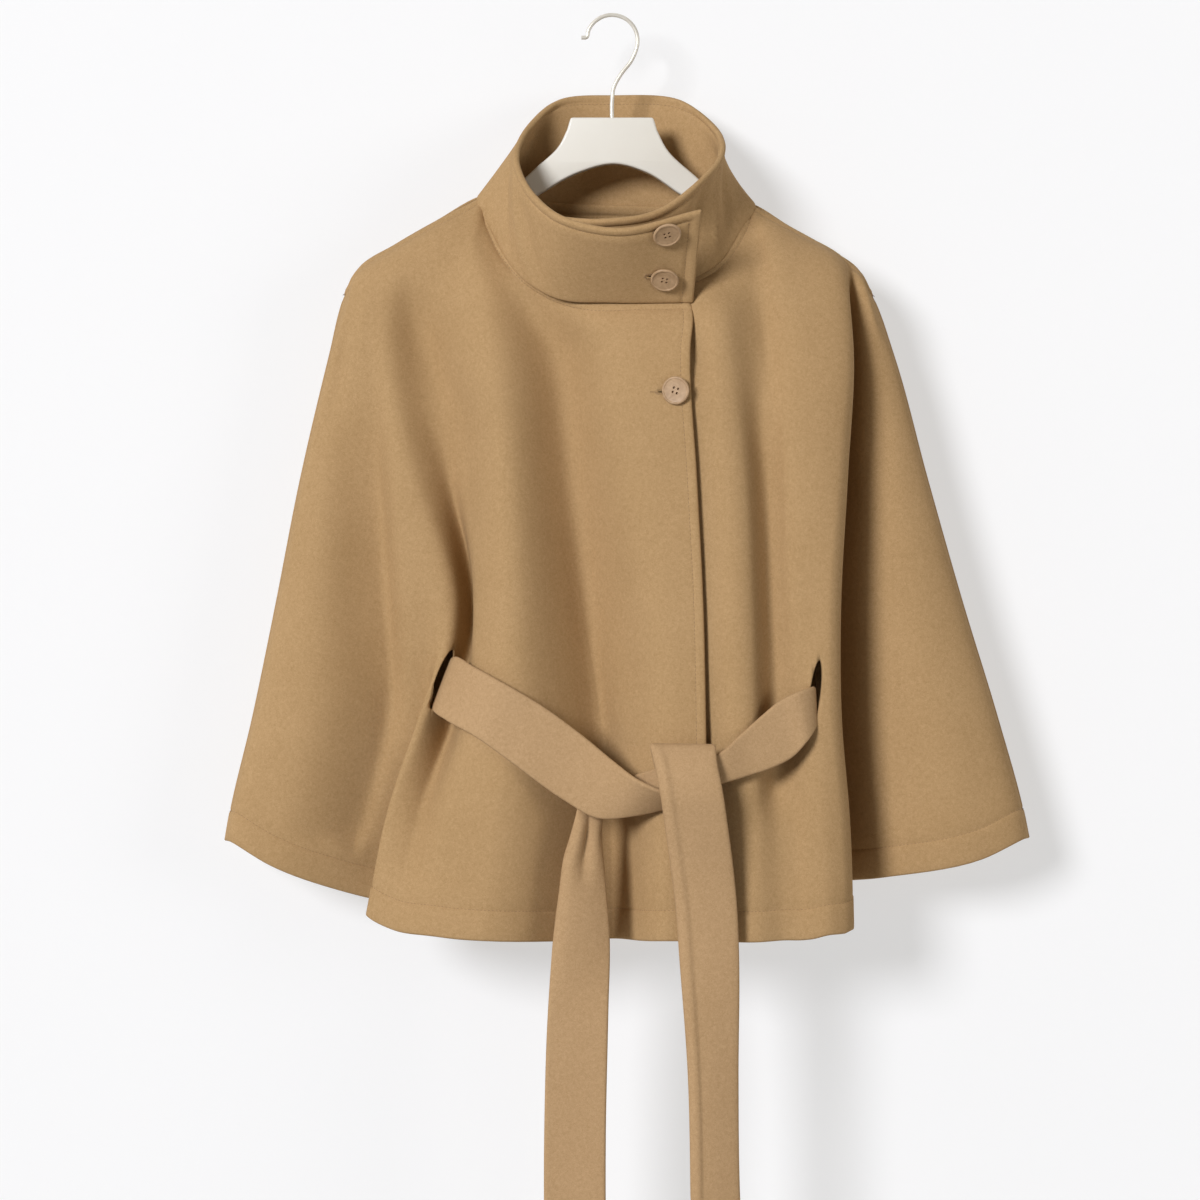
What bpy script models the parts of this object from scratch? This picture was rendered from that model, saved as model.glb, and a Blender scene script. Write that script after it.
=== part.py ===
"""A belted wool cape on its hanger.

The cape is two fronts and a back of heavy wool, cut as parts of a circle and sewn together
along the shoulders and overarms, under a deep funnel collar that wraps over itself. A tie
belt comes out of a slit in each front and is knotted low at the front. The whole hangs from
a flat hanger, whose hook is the origin: (0, 0, 0) is the inner top of the hook's bow.

Tables are in millimetres: +X is the viewer's right, -Y is towards the viewer, +Z is up.
"""
import bmesh
import bpy
from collections import namedtuple
from math import cos, pi, radians, sin
from mathutils import Matrix, Vector

MM = 0.001                    # table unit in metres
OBJECT_NAME = "wool_cape"

# ---- driving sizes, mm ----
CLOTH = 2.4                   # one layer of heavy felted wool
COLLAR_WALL = 4.4             # two layers sewn together
BELT_WALL = 4.0               # two layers, turned out and pressed
FRONT_SEAM_GAP = 2.9          # from the collar's lower edge to the fronts, which it leans over
BACK_SEAM_GAP = 1.9           # and to the back, straight under it
HALF_SEAM = 1.15              # from the overarm seam to each panel's edge
ROLL_DROP, ROLL_OUT = 8.0, 13.0     # how the cloth rolls over the hanger's arm
NOSE_IN, NOSE_OUT = 3.0, 9.0        # how it rolls round the overarm seam lower down
JOIN_GAP = 0.3                # between pieces that meet face to face
BELT_JOIN = 1.4               # between two lengths of the belt, which meet at an angle

HANGER_DEPTH = 12.0
HANGER_EDGE = 3.0             # rounding of the hanger's edges
WIRE = 3.3                    # hook wire
BOW_RADIUS = 20.5             # hook bow, at the wire's centre
BOW_START, BOW_END = 172.3, -0.4    # degrees, over the top from beside the tip
BOW_POINTS = 12

BUTTON_DIAMETER = 23.0
BUTTON_THICK = 3.4
BUTTON_SHANK = 2.6            # thread shank that stands the button off the cloth
COLLAR_CLEAR, FRONT_CLEAR = 1.2, 0.8     # more room under a button that the cloth curves up to
BUTTON_RIM = (0.78, 0.98)     # the raised rim's inner and outer radius, of the button's own
BUTTON_DISH = 1.3             # how deep the middle lies below the rim
BUTTON_EDGE = 1.5             # height of the rounded edge
THREAD_RADIUS = 1.4
BUTTON_HOLES = 4
BUTTON_HOLE = 1.7
BUTTON_HOLE_RING = 2.6        # from the button's centre to each hole
# where each one is sewn on: row and column of its cloth's grid, and how far it tips over
Sewn = namedtuple("Sewn", "row column tilt")
BUTTON_COLLAR_TOP = Sewn(4.1, 1.65, (0.12, 0, -0.22))
BUTTON_COLLAR_LOW = Sewn(1.45, 1.5, (0.05, 0, -0.2))
BUTTON_FRONT = Sewn(5.35, 1.15, (-0.25, 0, 0))

SLIT_WIDTH, SLIT_LENGTH = 12.0, 57.0
SLIT_SIDES = 16
SLIT_CUT_DEPTH = 26.0         # of the cutter, enough to pass through one layer

# ---- the collar: rulings from the neck seam up to the rim, all the way round ----
# hollow: how far in the collar curves at half its height
Ruling = namedtuple("Ruling", "place seam rim hollow")
COLLAR = (
    Ruling("flap_end", (63.5, -63, -233), (69, -108, -164.5), 0),
    Ruling("front", (0, -64, -232.8), (0, -117, -180), 0),
    Ruling("front_bend", (-41, -58, -230), (-40, -105, -169), 0),
    Ruling("crease", (-69, -44, -214), (-62, -82, -149), 1),
    Ruling("side", (-91, -22, -182), (-75, -46, -118), 1),
    Ruling("neck_point_right", (-107, 0, -146), (-69, 3, -82), 1),
    Ruling("back_bend_right", (-60, 29, -147), (-42, 31, -62), 1),
    Ruling("centre_back", (3, 38, -149), (3, 40, -57.5), 0),
    Ruling("back_bend_left", (66, 29, -150), (54, 31, -62), 3),
    Ruling("neck_point_left", (114, 0, -152), (85, 3, -84), 7),
    Ruling("side_left", (101, -22, -176), (87, -42, -112), 7),
    Ruling("crease_left", (80, -40, -202), (67, -74, -138), 4),
    Ruling("under_bend", (38, -50, -222), (29, -98, -166), 0),
    Ruling("under_front", (-9, -54, -226), (-9, -107, -172), 0),
    Ruling("under_end", (-48, -48, -222), (-46, -95, -160), 0),
)

# ---- the shoulder and overarm seams, from the neck point to the wing tip: x, z ----
OVERARM_RIGHT = ((-107, -146), (-140, -164), (-173, -183), (-203, -203), (-212, -216),
                 (-217, -229), (-226, -266), (-250, -368), (-270, -470), (-289, -562),
                 (-308, -644), (-310.5, -659))
OVERARM_LEFT = ((114, -152), (151, -174), (174, -187), (188, -196), (199, -206),
                (206, -217), (212, -229), (225, -266), (253, -368), (282, -470),
                (310, -562), (332, -644), (334.5, -657))
SHOULDER_POINT_RIGHT, SHOULDER_POINT_LEFT = -212, 206

# ---- the panels: one row for each fold line, from the seam it starts on to the hem ----
# starts: a row of COLLAR (with fractions) or the x of a point on the shoulder seam
# x, y: the line's place at the heights LEVELS; hem: where it ends
LEVELS = (-270, -370, -470, -561, -641)
Fold = namedtuple("Fold", "line starts at x y hem")
FRONT_RIGHT = (
    Fold("front_edge", "collar", 0.0,
         (61, 66, 71, 73, 74), (-80, -86, -88, -87, -88), (75, -90, -732)),
    Fold("placket", "collar", 0.55,
         (28, 28, 29, 33, 37), (-74, -79, -82, -84, -87), (39, -88, -732)),
    Fold("flat_front", "collar", 1.6,
         (-14, -16, -6, 2, 19), (-68, -72, -74, -74, -75), (20, -75, -733)),
    Fold("deep_hollow", "collar", 3.3,
         (-66, -53, -39, -27, -16), (-52, -50, -45, -44, -50), (-17, -52, -735)),
    Fold("front_ridge", "collar", 4.5,
         (-98, -90, -88, -88, -93), (-60, -70, -77, -79, -83), (-100, -86, -732)),
    Fold("side_slope", "shoulder", -112,
         (-124, -114, -102, -110, -136), (-46, -54, -62, -64, -70), (-140, -78, -729)),
    Fold("side_hollow", "shoulder", -155,
         (-163, -139, -115, -130, -161), (-28, -30, -24, -34, -50), (-170, -64, -726)),
    Fold("fold_edge", "shoulder", -174,
         (-180, -161, -135, -153, -178), (-34, -44, -42, -46, -46), (-193, -44, -716)),
    Fold("under_fold", "shoulder", -184,
         (-190, -174, -151, -142, -145), (-32, -41, -38, -24, -14), (-150, -10, -710)),
    Fold("wing_start", "shoulder", -192,
         (-200, -185, -170, -163, -173), (-29, -36, -33, -16, -6), (-182, -4, -707)),
    Fold("wing_hollow", "shoulder", -199,
         (-211, -206, -199, -196, -203), (-25, -30, -31, -24, -14), (-217, -12, -698)),
    Fold("wing_ridge", "shoulder", -205,
         (-219, -232, -244, -253, -266), (-17, -23, -27, -29, -27), (-272, -25, -677)),
)
FRONT_LEFT = (
    Fold("under_edge", "collar", 14.0,
         (-34, -17, -2, 5, 6), (-50, -54, -56, -57, -58), (8, -60, -731)),
    Fold("under_front", "collar", 12.1,
         (30, 37, 45, 49, 53), (-62, -66, -68, -70, -72), (56, -74, -732)),
    Fold("front_ridge", "collar", 11.0,
         (82, 87, 91, 94, 106), (-73, -75, -76, -76, -80), (107, -82, -733)),
    Fold("front_hollow", "collar", 9.5,
         (110, 112, 114, 120, 128), (-62, -52, -48, -50, -62), (136, -70, -732)),
    Fold("neck_slope", "shoulder", 119,
         (125, 128, 129, 135, 142), (-61, -65, -68, -68, -74), (148, -77, -731)),
    Fold("broad_ridge", "shoulder", 148,
         (148, 152, 150, 150, 160), (-62, -74, -78, -80, -80), (162, -80, -728)),
    Fold("fold_edge", "shoulder", 185,
         (188, 182, 176, 176, 181), (-44, -50, -54, -56, -58), (183, -58, -727)),
    Fold("deep_fold", "shoulder", 193,
         (196, 194, 191, 190, 188), (-2, 3, 6, 8, 8), (184, 8, -711)),
    Fold("wing_start", "shoulder", 198,
         (204, 205, 203, 204, 208), (-16, -15, -12, -8, -4), (213, -2, -688)),
    Fold("wing_ridge", "shoulder", 202,
         (213, 224, 238, 252, 264), (-18, -24, -28, -30, -30), (269, -28, -677)),
)
BACK = (
    Fold("wing_right", "shoulder", -202,
         (-214, -226, -236, -246, -258), (15, 20, 23, 24, 24), (-262, 24, -679)),
    Fold("side_right", "shoulder", -172,
         (-178, -182, -186, -192, -200), (25, 24, 22, 24, 28), (-202, 29, -703)),
    Fold("flute_right", "shoulder", -138,
         (-137, -138, -140, -142, -146), (36, 42, 44, 46, 48), (-147, 49, -724)),
    Fold("hollow_right", "collar", 5.15,
         (-98, -96, -94, -92, -92), (32, 33, 33, 32, 32), (-92, 32, -734)),
    Fold("back_right", "collar", 6.0,
         (-52, -47, -43, -40, -40), (40, 45, 48, 50, 52), (-40, 53, -738)),
    Fold("centre_back", "collar", 7.0,
         (3, 4, 5, 6, 6), (42, 40, 38, 37, 36), (6, 36, -740)),
    Fold("back_left", "collar", 8.0,
         (58, 53, 51, 50, 50), (40, 46, 49, 50, 51), (50, 52, -738)),
    Fold("hollow_left", "collar", 8.85,
         (105, 102, 100, 98, 98), (33, 34, 33, 32, 32), (98, 32, -733)),
    Fold("flute_left", "shoulder", 144,
         (144, 147, 150, 152, 154), (37, 43, 45, 46, 47), (156, 48, -722)),
    Fold("side_left", "shoulder", 173,
         (180, 188, 196, 204, 212), (26, 27, 26, 27, 28), (214, 29, -698)),
    Fold("wing_left", "shoulder", 198,
         (212, 232, 250, 268, 284), (16, 20, 22, 24, 24), (287, 24, -674)),
)

# ---- the belt: rulings across its width, along each stretch ----
Across = namedtuple("Across", "place upper lower")
BAND_RIGHT = (
    Across("inside", (-119, -12, -505), (-129, -10, -553)),
    Across("slit", (-129.3, -30.5, -514.5), (-139.8, -31.2, -546.5)),
    Across("turn", (-125, -47, -512), (-141, -47, -554)),
    Across("out", (-112, -64, -517), (-130, -62, -561)),
    Across("ridge", (-88, -86, -529), (-107, -80, -573)),
    Across("hang", (-57, -88, -547), (-77, -88, -594)),
    Across("low", (-20, -91, -574), (-38, -90, -622)),
    Across("sag", (2, -99, -592), (-12, -92, -636)),
    Across("roll", (21, -111, -606), (18, -91, -634)),
    Across("knot", (44, -112, -616), (44, -91, -628)),
)
BAND_LEFT = (
    Across("inside", (140, -30, -533), (140, -30, -572)),
    Across("slit", (158, -60, -535.5), (158, -60, -562.5)),
    Across("turn", (162, -79.6, -534), (162, -78.6, -565)),
    Across("out", (149, -89, -537), (152, -88, -576)),
    Across("ridge", (131, -92, -544), (141, -90, -588)),
    Across("hang", (116, -94, -556), (124, -93, -597)),
    Across("gather", (99, -98, -571), (105, -97, -603)),
    Across("knot", (82, -104, -585), (87, -104, -608)),
    Across("under_loop", (60, -106, -589), (63, -106, -613)),
    Across("cross", (40, -103, -595), (42, -103, -611)),
    Across("behind", (18, -92, -602), (16, -84.5, -628)),
)
BELT_BACK = (
    BAND_RIGHT[0],
    Across("right", (-82, 12, -503), (-86, 12, -552)),
    Across("middle_right", (-30, 23, -505), (-30, 23, -554)),
    Across("middle_left", (36, 23, -511), (36, 23, -560)),
    Across("left", (92, 10, -521), (92, 10, -566)),
    BAND_LEFT[0],
)
BELT_LOOP = (
    Across("behind", (36, -93, -612), (84, -93, -611)),
    Across("up", (32, -94.6, -594), (81, -95, -594)),
    Across("top", (29, -105, -579), (80, -104.6, -579.6)),
    Across("over", (33, -114.2, -592), (81, -113.6, -592)),
    Across("knot", (37, -119, -613), (85, -119, -613)),
    Across("below", (41, -114, -640), (89, -114, -640)),
    Across("fall", (45, -107, -668), (93, -107, -668)),
    Across("hip", (50, -102, -707), (97, -102, -707)),
    Across("hem", (53, -100, -745), (97, -100, -745)),
    Across("tail", (60, -98, -835), (98, -106, -835)),
    Across("low_tail", (62, -97, -924), (99, -106, -924)),
    Across("end", (62, -97, -1003), (103, -104, -1003)),
)
BELT_TAIL = (
    Across("behind", (-30, -86, -629), (-12, -86, -628)),
    Across("neck", (-34, -88, -648), (-18, -88, -648)),
    Across("open", (-38, -90, -667), (-12, -90, -667)),
    Across("wide", (-41, -91, -692), (-5, -91, -692)),
    Across("hem", (-46, -92, -731), (-2, -92, -731)),
    Across("tail", (-50, -92, -784), (-3, -92, -784)),
    Across("low_tail", (-53, -92, -880), (-5, -92, -880)),
    Across("end", (-53, -92, -985), (-5, -92, -985)),
)

# ---- the slits: centre, and the directions of their length and of the cut ----
Slit = namedtuple("Slit", "centre along through")
SLIT_RIGHT = Slit((-135.5, -37, -531), (-0.36, 0, -0.93), (0.55, -0.84, 0))
SLIT_LEFT = Slit((160, -70, -545), (-0.05, 0, -1.0), (0.6, -0.8, 0))

# ---- the hanger: its outline from the hook's foot to one tip and back, x, z ----
HANGER_TOP = ((-33, -81), (33, -81))
HANGER_ARM_LEFT = ((36, -91), (43, -105), (67, -128), (108, -162.2), (150, -179.6),
                   (187, -200.3), (196.5, -207), (200.5, -216), (197, -225), (187, -227))
HANGER_ARM_RIGHT = ((-36, -91), (-42, -103), (-62, -122), (-101, -157.2), (-171, -187),
                    (-196.5, -201.8), (-205, -212), (-205, -221), (-199, -226), (-190, -226))
HANGER_UNDER_LEFT = ((150, -203), (100, -171), (54, -142), (28, -125), (2, -118))
HANGER_UNDER_RIGHT = ((-150, -201), (-104, -171), (-58, -142), (-27, -125))

# ---- the hook's wire before and after the bow ----
HOOK_TIP = (-24.5, 0, -16.5)
HOOK_STEM = ((16, 0, -34), (7, 0, -46), (1.2, 0, -57), (0, 0, -68))


# ---------------------------------------------------------------- shared helpers
def clear_scene():
    for item in list(bpy.data.objects):
        bpy.data.objects.remove(item, do_unlink=True)


def collection(name):
    group = bpy.data.collections.new(name)
    bpy.context.scene.collection.children.link(group)
    return group


def material(name, color, roughness, metallic=0.0):
    made = bpy.data.materials.new(name)
    made.use_nodes = True
    shader = made.node_tree.nodes["Principled BSDF"]
    shader.inputs["Base Color"].default_value = (*color, 1.0)
    shader.inputs["Roughness"].default_value = roughness
    shader.inputs["Metallic"].default_value = metallic
    return made


def place(name, mesh, group, finish):
    made = bpy.data.objects.new(name, mesh)
    mesh.materials.append(finish)
    group.objects.link(made)
    return made


def smooth(points, steps):
    """Points along a smooth curve through the given ones, `steps` to each interval.

    It is a cubic through every point, with tangents weighted by the distances between them,
    so unevenly spaced points don't make it overshoot."""
    points = [Vector(point) for point in points]
    last = len(points) - 1
    if isinstance(steps, int):
        steps = [steps] * last
    spans = [max((points[i + 1] - points[i]).length, 1e-6) for i in range(last)]
    slopes = [(points[i + 1] - points[i]) / spans[i] for i in range(last)]
    tangents = [slopes[0]]
    for i in range(1, last):
        before, after = spans[i - 1], spans[i]
        tangents.append((slopes[i - 1] * after + slopes[i] * before) / (before + after))
    tangents.append(slopes[-1])
    curve = []
    for i in range(last):
        for step in range(steps[i]):
            t = step / steps[i]
            curve.append(hermite(points[i], tangents[i] * spans[i],
                                 points[i + 1], tangents[i + 1] * spans[i], t))
    curve.append(points[-1])
    return curve


def hermite(start, start_slope, end, end_slope, t):
    return (start * (2 * t**3 - 3 * t**2 + 1) + start_slope * (t**3 - 2 * t**2 + t)
            + end * (3 * t**2 - 2 * t**3) + end_slope * (t**3 - t**2))


def grid_mesh(name, rows):
    """A mesh of quads through rows of points given in millimetres."""
    columns = len(rows[0])
    points = [point * MM for row in rows for point in row]
    faces = []
    for r in range(len(rows) - 1):
        for c in range(columns - 1):
            corner = r * columns + c
            faces.append((corner, corner + columns, corner + columns + 1, corner + 1))
    mesh = bpy.data.meshes.new(name)
    mesh.from_pydata([tuple(point) for point in points], [], faces)
    mesh.shade_smooth()
    return mesh


def wall(name, rows, thickness, group, finish):
    """Cloth: a surface through the rows, thickened evenly to both sides."""
    made = place(name, grid_mesh(name, rows), group, finish)
    solid = made.modifiers.new("thickness", "SOLIDIFY")
    solid.thickness = thickness * MM
    solid.offset = 0.0
    solid.use_even_offset = False
    solid.use_quality_normals = True
    return made


def on_rows(rows, row, column):
    """A point of a grid of rows, and the direction out of the cloth there."""
    r, c = int(row), int(column)
    left = rows[r][c].lerp(rows[r + 1][c], row - r)
    right = rows[r][c + 1].lerp(rows[r + 1][c + 1], row - r)
    point = left.lerp(right, column - c)
    down = rows[r + 1][c] - rows[r][c]
    out = down.cross(right - left).normalized()
    if out.y > 0:
        out = -out
    return point, out


# ---------------------------------------------------------------- collar
COLLAR_STEPS = 4              # columns to each interval of the table
COLLAR_ROWS = 6
NECK_AXIS = (3, -15)          # x, y of the middle of the neck


def collar_rows():
    """Rows of points from the seam up to the rim, curved in by `hollow` between the two."""
    seam = smooth([ruling.seam for ruling in COLLAR], COLLAR_STEPS)
    rim = smooth([ruling.rim for ruling in COLLAR], COLLAR_STEPS)
    hollow = smooth([(index, ruling.hollow, 0) for index, ruling in enumerate(COLLAR)],
                    COLLAR_STEPS)
    rows = []
    for step in range(COLLAR_ROWS):
        t = step / (COLLAR_ROWS - 1)
        row = []
        for low, high, depth in zip(seam, rim, hollow):
            point = low.lerp(high, t)
            inward = Vector((NECK_AXIS[0] - point.x, NECK_AXIS[1] - point.y, 0)).normalized()
            row.append(point + inward * (depth.y * 4 * t * (1 - t)))
        rows.append(row)
    return rows


SEAM_STEPS = 20


def collar_seam(at):
    """A point of the neck seam, `at` rows into the table, and the seam's direction there."""
    seam = smooth([ruling.seam for ruling in COLLAR], SEAM_STEPS)
    index = round(at * SEAM_STEPS)
    before, after = seam[max(index - 1, 0)], seam[min(index + 1, len(seam) - 1)]
    return seam[index], (after - before).normalized()


# ---------------------------------------------------------------- panels
# mesh steps between a fold line's points: seam, roll, the levels, hem
LINE_STEPS = (1, 3, 4, 4, 4, 3, 3)
OVERARM_STEPS = 8
FRONT_STEPS, BACK_STEPS, EDGE_STEPS = 3, 2, 2      # and between neighbouring lines


def seam_curve(table):
    return smooth([(x, 0, z) for x, z in table], OVERARM_STEPS)


def on_seam(table, x):
    """The point of an overarm seam above the wing, at this x."""
    curve = seam_curve(table)
    return min(curve[:len(curve) // 2], key=lambda point: abs(point.x - x)).copy()


def at_height(table, z):
    curve = seam_curve(table)
    for above, below in zip(curve, curve[1:]):
        if below.z <= z <= above.z:
            return above.lerp(below, (above.z - z) / (above.z - below.z))
    return curve[-1]


def fold_line(fold, overarm, side):
    """One fold line as points: on its seam, just past the seam, at the levels, at the hem."""
    levels = [Vector((x, y, z)) for x, y, z in zip(fold.x, fold.y, LEVELS)]
    if fold.starts == "collar":
        seam, tangent = collar_seam(fold.at)
        down = (levels[0] - seam).normalized()
        away = (down - tangent * down.dot(tangent)).normalized()
        start = seam + away * (FRONT_SEAM_GAP if side < 0 else BACK_SEAM_GAP)
        roll = start + down * ROLL_DROP
    else:
        seam = on_seam(overarm, fold.at)
        start = seam + Vector((0, side * HALF_SEAM, 0))
        toward = (levels[0].x - seam.x) * ROLL_DROP / (seam.z - LEVELS[0])
        roll = seam + Vector((toward, side * ROLL_OUT, -ROLL_DROP))
    return [start, roll] + levels + [Vector(fold.hem)]


def overarm_line(table, shoulder_x, side):
    """The panel's edge along the overarm seam, and the line where the cloth rolls round it."""
    seam = on_seam(table, shoulder_x)
    hem = Vector((table[-1][0], 0, table[-1][1]))
    below = at_height(table, seam.z - ROLL_DROP)
    spine = [seam, below] + [at_height(table, z) for z in LEVELS] + [hem]
    edge = [point + Vector((0, side * HALF_SEAM, 0)) for point in spine]
    inward = NOSE_IN if shoulder_x < 0 else -NOSE_IN
    nose = [on_seam(table, shoulder_x + inward) + Vector((0, side * HALF_SEAM, 0))]
    nose += [point + Vector((inward, side * NOSE_OUT, 0)) for point in spine[1:]]
    return edge, nose


def panel_rows(lines, steps):
    """Loft the fold lines: resample each one downwards, then each row across them."""
    columns = [smooth(line, LINE_STEPS) for line in lines]
    return [smooth(row, steps) for row in zip(*columns)]


def front_rows(folds, overarm, shoulder_x):
    lines = [fold_line(fold, overarm, -1) for fold in folds]
    edge, nose = overarm_line(overarm, shoulder_x, -1)
    steps = [FRONT_STEPS] * (len(lines) - 1) + [EDGE_STEPS, EDGE_STEPS]
    return panel_rows(lines + [nose, edge], steps)


def back_rows():
    middle = len(BACK) // 2
    lines = [fold_line(fold, OVERARM_RIGHT if index <= middle else OVERARM_LEFT, 1)
             for index, fold in enumerate(BACK)]
    edge_right, nose_right = overarm_line(OVERARM_RIGHT, SHOULDER_POINT_RIGHT, 1)
    edge_left, nose_left = overarm_line(OVERARM_LEFT, SHOULDER_POINT_LEFT, 1)
    lines = [edge_right, nose_right] + lines + [nose_left, edge_left]
    return panel_rows(lines, BACK_STEPS)


def cut_slit(panel, slit, cutters, name):
    """Cut a long oval slit right through a front."""
    bpy.ops.mesh.primitive_cylinder_add(vertices=SLIT_SIDES, radius=0.5, depth=1.0)
    cutter = bpy.context.object
    cutter.name = name
    through = Vector(slit.through).normalized()
    along = (Vector(slit.along) - through * through.dot(Vector(slit.along))).normalized()
    across = along.cross(through)
    turn = Matrix((across, along, through)).transposed()
    size = Matrix.Diagonal((SLIT_WIDTH * MM, SLIT_LENGTH * MM, SLIT_CUT_DEPTH * MM, 1.0))
    cutter.data.transform(Matrix.Translation(Vector(slit.centre) * MM) @ turn.to_4x4() @ size)
    for owner in list(cutter.users_collection):
        owner.objects.unlink(cutter)
    cutters.objects.link(cutter)
    cutter.hide_render = True
    cutter.display_type = "WIRE"
    cut = panel.modifiers.new("slit", "BOOLEAN")
    cut.operation = "DIFFERENCE"
    cut.object = cutter


# ---------------------------------------------------------------- belt
BELT_STEPS = 3


def band(name, table, group, finish, trim=0.0):
    """A stretch of the belt: a strip through its rulings, cut back by `trim` at both ends."""
    upper = smooth([ruling.upper for ruling in table], BELT_STEPS)
    lower = smooth([ruling.lower for ruling in table], BELT_STEPS)
    for edge in (upper, lower):
        edge[0] = edge[0] + (edge[1] - edge[0]).normalized() * trim
        edge[-1] = edge[-1] + (edge[-2] - edge[-1]).normalized() * trim
    rows = [[a, a.lerp(b, 0.5), b] for a, b in zip(upper, lower)]
    return wall(name, rows, BELT_WALL, group, finish)


# ---------------------------------------------------------------- buttons
def button(name, rows, sewn, cloth, group, finish, cutters):
    """A dished button with a raised rim, four holes and a thread shank."""
    at, out = on_rows(rows, sewn.row, sewn.column)
    facing = (out + Vector(sewn.tilt)).normalized()
    radius = BUTTON_DIAMETER / 2
    back = BUTTON_SHANK
    front = back + BUTTON_THICK
    rim_in, rim_out = BUTTON_RIM[0] * radius, BUTTON_RIM[1] * radius
    rim_top = (rim_in + rim_out) / 2
    profile = ((0, front - BUTTON_DISH), (rim_in - BUTTON_DISH, front - BUTTON_DISH),
               (rim_in, front - BUTTON_DISH / 4), (rim_top, front),
               (rim_out, front - BUTTON_EDGE / 2), (radius, front - BUTTON_EDGE),
               (radius - BUTTON_EDGE, back), (THREAD_RADIUS, back), (THREAD_RADIUS, 0), (0, 0))
    mesh = bpy.data.meshes.new(name)
    points = [(x * MM, 0, z * MM) for x, z in profile]
    mesh.from_pydata(points, [(i, i + 1) for i in range(len(points) - 1)], [])
    made = place(name, mesh, group, finish)
    turned = made.modifiers.new("turn", "SCREW")
    turned.steps = 24
    turned.render_steps = 24
    turned.use_merge_vertices = True
    turned.merge_threshold = 0.00001
    frame = facing.to_track_quat("Z", "Y").to_matrix()
    made.location = (at + out * (cloth / 2 + JOIN_GAP)) * MM
    made.rotation_euler = frame.to_euler()
    for index in range(BUTTON_HOLES):
        angle = (index + 0.5) * 2 * pi / BUTTON_HOLES
        spot = Vector((cos(angle), sin(angle), 0)) * BUTTON_HOLE_RING
        spot.z = front
        bpy.ops.mesh.primitive_cylinder_add(vertices=8, radius=BUTTON_HOLE / 2 * MM,
                                            depth=BUTTON_THICK * 3 * MM)
        cutter = bpy.context.object
        cutter.name = f"{name}_hole_{index + 1}"
        cutter.matrix_world = (Matrix.Translation(made.location) @ frame.to_4x4()
                               @ Matrix.Translation(spot * MM))
        for owner in list(cutter.users_collection):
            owner.objects.unlink(cutter)
        cutters.objects.link(cutter)
        cutter.hide_render = True
        cutter.display_type = "WIRE"
        cut = made.modifiers.new(f"hole_{index + 1}", "BOOLEAN")
        cut.operation = "DIFFERENCE"
        cut.object = cutter
    return made


# ---------------------------------------------------------------- hanger
def hanger_body(group, finish):
    left = smooth([(x, 0, z) for x, z in HANGER_ARM_LEFT], 2)
    under_left = smooth([(x, 0, z) for x, z in (HANGER_ARM_LEFT[-1],) + HANGER_UNDER_LEFT], 2)
    under_right = [(x, 0, z) for x, z in (HANGER_UNDER_LEFT[-1],) + HANGER_UNDER_RIGHT[::-1]]
    under_right = smooth(under_right + [(HANGER_ARM_RIGHT[-1][0], 0, HANGER_ARM_RIGHT[-1][1])], 2)
    right = smooth([(x, 0, z) for x, z in HANGER_ARM_RIGHT[::-1]], 2)
    top = [Vector((x, 0, z)) for x, z in HANGER_TOP]
    outline = top + left + under_left[1:] + under_right[1:] + right[1:]
    mesh = bpy.data.meshes.new("hanger_body")
    shape = bmesh.new()
    corners = [shape.verts.new((p.x * MM, -HANGER_DEPTH / 2 * MM, p.z * MM)) for p in outline]
    face = shape.faces.new(corners)
    sides = bmesh.ops.extrude_face_region(shape, geom=[face])
    moved = [item for item in sides["geom"] if isinstance(item, bmesh.types.BMVert)]
    bmesh.ops.translate(shape, verts=moved, vec=(0, HANGER_DEPTH * MM, 0))
    bmesh.ops.recalc_face_normals(shape, faces=shape.faces)
    shape.to_mesh(mesh)
    shape.free()
    made = place("hanger_body", mesh, group, finish)
    edge = made.modifiers.new("edges", "BEVEL")
    edge.width = HANGER_EDGE * MM
    edge.segments = 2
    edge.limit_method = "ANGLE"
    edge.angle_limit = radians(50)
    return made


def hanger_hook(group, finish):
    """Bent wire: a round bow, then an S down to the stem that stands on the hanger's body."""
    centre_z = WIRE / 2 - BOW_RADIUS
    bow = []
    for step in range(BOW_POINTS):
        share = step / (BOW_POINTS - 1)
        angle = radians(BOW_START + (BOW_END - BOW_START) * share)
        bow.append((BOW_RADIUS * cos(angle), 0, centre_z + BOW_RADIUS * sin(angle)))
    foot = (0, 0, HANGER_TOP[0][1] + JOIN_GAP)
    path = smooth([HOOK_TIP] + bow + list(HOOK_STEM) + [foot], 2)
    curve = bpy.data.curves.new("hanger_hook", "CURVE")
    curve.dimensions = "3D"
    curve.bevel_depth = WIRE / 2 * MM
    curve.bevel_resolution = 2
    curve.use_fill_caps = True
    spline = curve.splines.new("POLY")
    spline.points.add(len(path) - 1)
    for point, where in zip(spline.points, path):
        point.co = (where.x * MM, where.y * MM, where.z * MM, 1.0)
    made = bpy.data.objects.new("hanger_hook", curve)
    curve.materials.append(finish)
    group.objects.link(made)
    return made


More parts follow.
